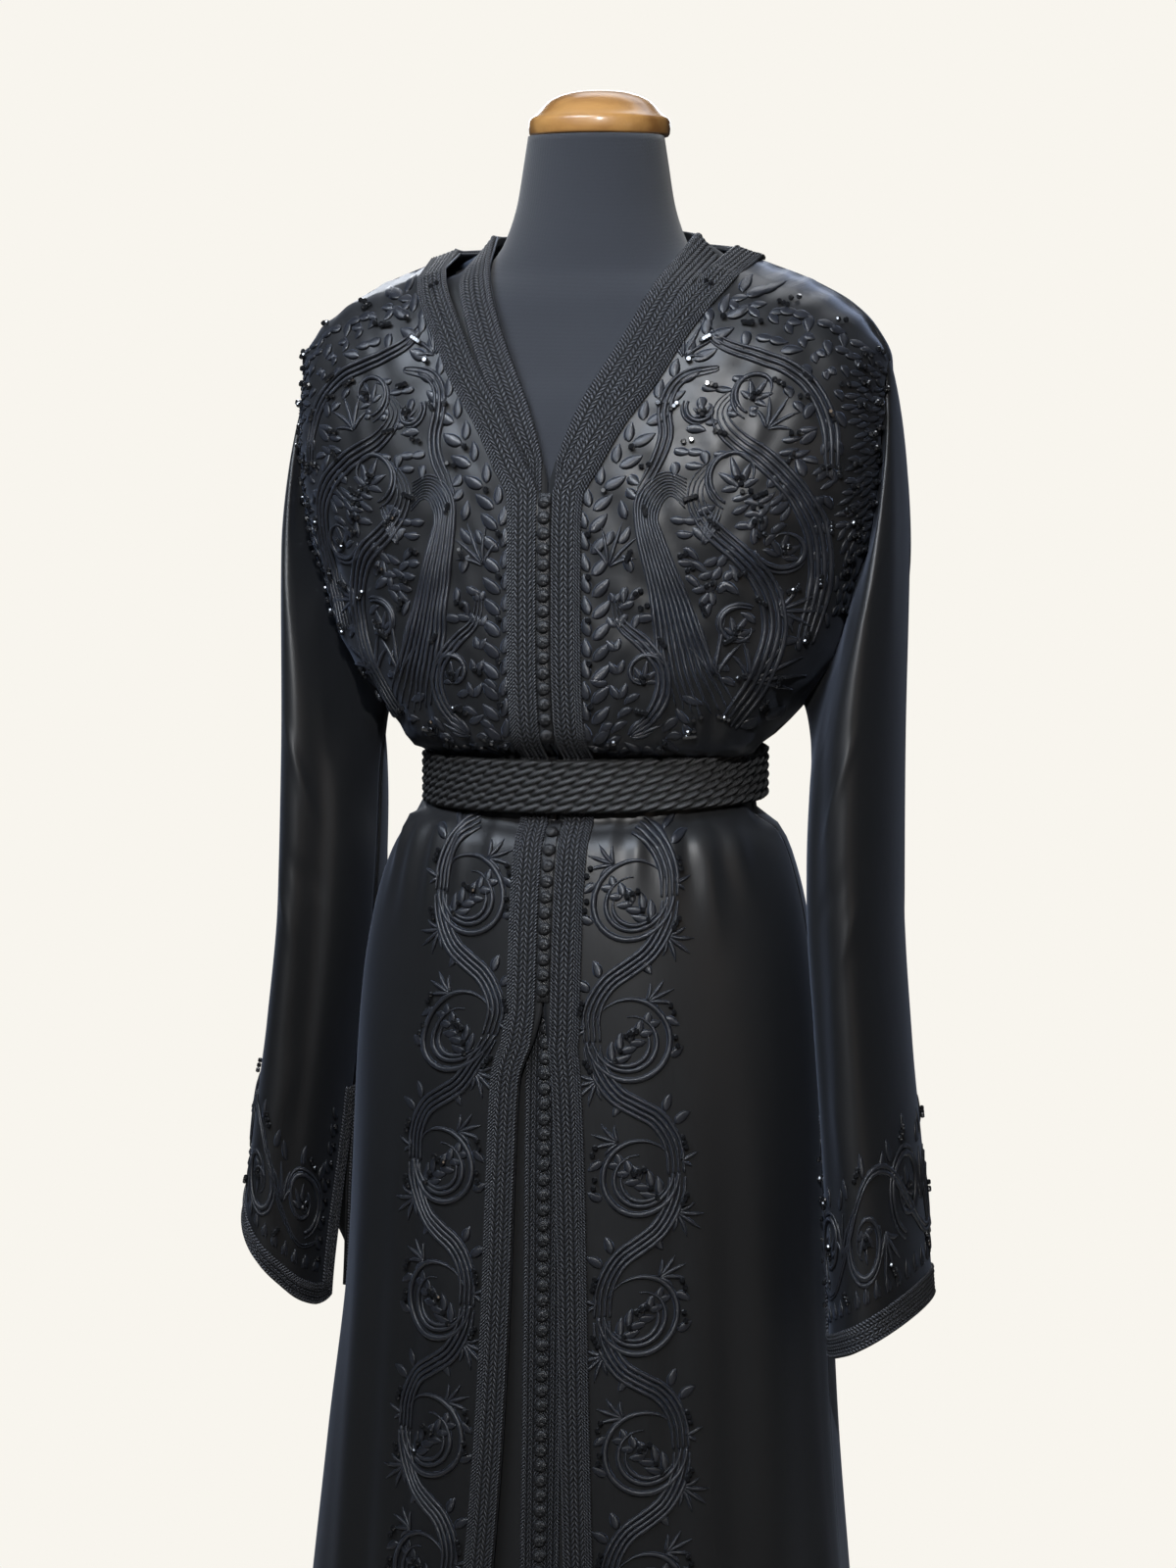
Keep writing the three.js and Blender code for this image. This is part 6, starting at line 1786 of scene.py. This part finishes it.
for side, word in WORDS.items():
    sprays = Needlework()
    chest(sprays, side)
    lay_flat(sprays, side)
    fill_ground(sprays, side)
    sprays.shift(1.6, 1.7 * side)
    sprays.sew(f"chest_embroidery_{word}", on_front(side), f"embroidery_bodice_{word}")
    sew_beads(f"chest_beads_{word}", sprays, on_front(side))

# %% [markdown]
# The cuffs carry six smaller curls with buds, on a winding double stem. Their drawing is flat
# too: millimetres round the wrist from the slit, and millimetres up from the hem.
# %% Cuff embroidery
def cuff_scrolls(work):
    """The whole design of one cuff: curls, a stem through them, and leaves along the edges."""
    for k, x in enumerate(np.linspace(48, CUFF_AROUND - 48, 6)):
        way = 1 if k % 2 == 0 else -1
        centre = [x, 56 + 6 * way]
        start, sweep = (250, -480) if way > 0 else (110, 480)
        work.stitch(spiral(centre, 21, 9, start, sweep, 60), 1.6, 1.7, (0.6, 0.3))
        work.stitch(spiral(centre, 24.5, 18, start, 0.55 * sweep, 36), 1.1, 1.2)
        work.bud(centre, 90 * way, 12)
        work.fan([x + 22, 50], 74 * way, 30, 5, 24, 1.15, 1.2, 40)
        work.leaf([x - 16, 80], 120, 14, 3.1, 1.1, -30)
        work.leaf([x + 4, 84], 78, 15, 3.1, 1.1, 26)
        work.leaf([x + 24, 78], 50, 13, 2.9, 1.1, 26)
        work.bead_line([x - 6, 88], [x - 1, 92], 3, 1.3)
        work.bead_line([x + 25, 32], [x + 29, 27], 3, 1.3)
    stem = soften([
        [24, 40], [48, 30], [77, 50], [106, 84], [135, 82], [160, 50], [190, 30], [220, 50],
        [248, 84], [276, 82], [304, 50], [330, 34], [350, 42],
    ], 4)
    work.double(stem, 1.5, 1.3, 1.5)
    for x in np.arange(22, CUFF_AROUND - 18, 12.5):
        work.leaf([x, 20], 68, 10, 2.6, 1.1, 22)
        work.leaf([x + 5, 20], 122, 9, 2.3, 1.1, -22)
    for edge, way in ((21, 1), (CUFF_AROUND - 21, -1)):
        for y in np.arange(34, 132, 13):
            work.leaf([edge, y], 90 - 44 * way, 11, 2.6, 1.1, 24 * way)
            work.bead_line([edge + 4 * way, y - 4], [edge + 4 * way, y - 4], 1, 1.4)


for side, word in WORDS.items():
    scrolls = Needlework()
    cuff_scrolls(scrolls)
    scrolls.shift(1.0, side)
    scrolls.sew(f"cuff_vine_{word}", on_sleeve(side), f"embroidery_cuff_{word}")
    sew_beads(f"cuff_beads_{word}", scrolls, on_sleeve(side))

# %% [markdown]
# The room is a plain pale floor and a pale backdrop colour. Only the camera sees that colour
# at full strength: the light it would cast from all around would flatten the black satin, so
# the light from the surroundings is kept much dimmer.
# %% Floor and surroundings
FLOOR_CORNERS, FLOOR_RADIUS, BELOW = 64, 1.4, 0.0005
BACKDROP, DIM = (0.939, 0.913, 0.855), 0.03


def add_floor():
    """A round floor in metres, a hair below the stand's foot."""
    mesh = bpy.data.meshes.new("floor")
    turn = full_turn(FLOOR_CORNERS)
    x, y = FLOOR_RADIUS * np.cos(turn), FLOOR_RADIUS * np.sin(turn)
    ring = np.stack([x, y, np.full(FLOOR_CORNERS, -BELOW)], -1)
    mesh.from_pydata(ring.tolist(), [], [list(range(FLOOR_CORNERS))])
    floor = bpy.data.objects.new("floor", mesh)
    paint = Paint("floor_paint")
    grain = paint.grains(60, 3.0)
    colour = paint.mix(grain, (0.80, 0.78, 0.74, 1), (0.86, 0.84, 0.80, 1))
    mesh.materials.append(paint.done(Base_Color=colour, Roughness=0.6 + grain * 0.2))
    bpy.context.collection.objects.link(floor)
    return floor


def pale_surroundings(seen, dim):
    """Mixes two backgrounds by whether the ray comes from the camera."""
    world = bpy.data.worlds.new("pale_room")
    world.use_nodes = True
    tree = world.node_tree
    lit = tree.nodes["Background"]
    lit.inputs[0].default_value = (0.95, 0.97, 1.0, 1)
    lit.inputs[1].default_value = dim
    plain = tree.nodes.new("ShaderNodeBackground")
    plain.inputs[0].default_value = (*seen, 1)
    ray = tree.nodes.new("ShaderNodeLightPath")
    both = tree.nodes.new("ShaderNodeMixShader")
    tree.links.new(ray.outputs["Is Camera Ray"], both.inputs[0])
    tree.links.new(lit.outputs[0], both.inputs[1])
    tree.links.new(plain.outputs[0], both.inputs[2])
    tree.links.new(both.outputs[0], tree.nodes["World Output"].inputs[0])
    bpy.context.scene.world = world


print("floor:", add_floor().name)
pale_surroundings(BACKDROP, DIM)
bpy.context.scene.view_settings.view_transform = "Standard"
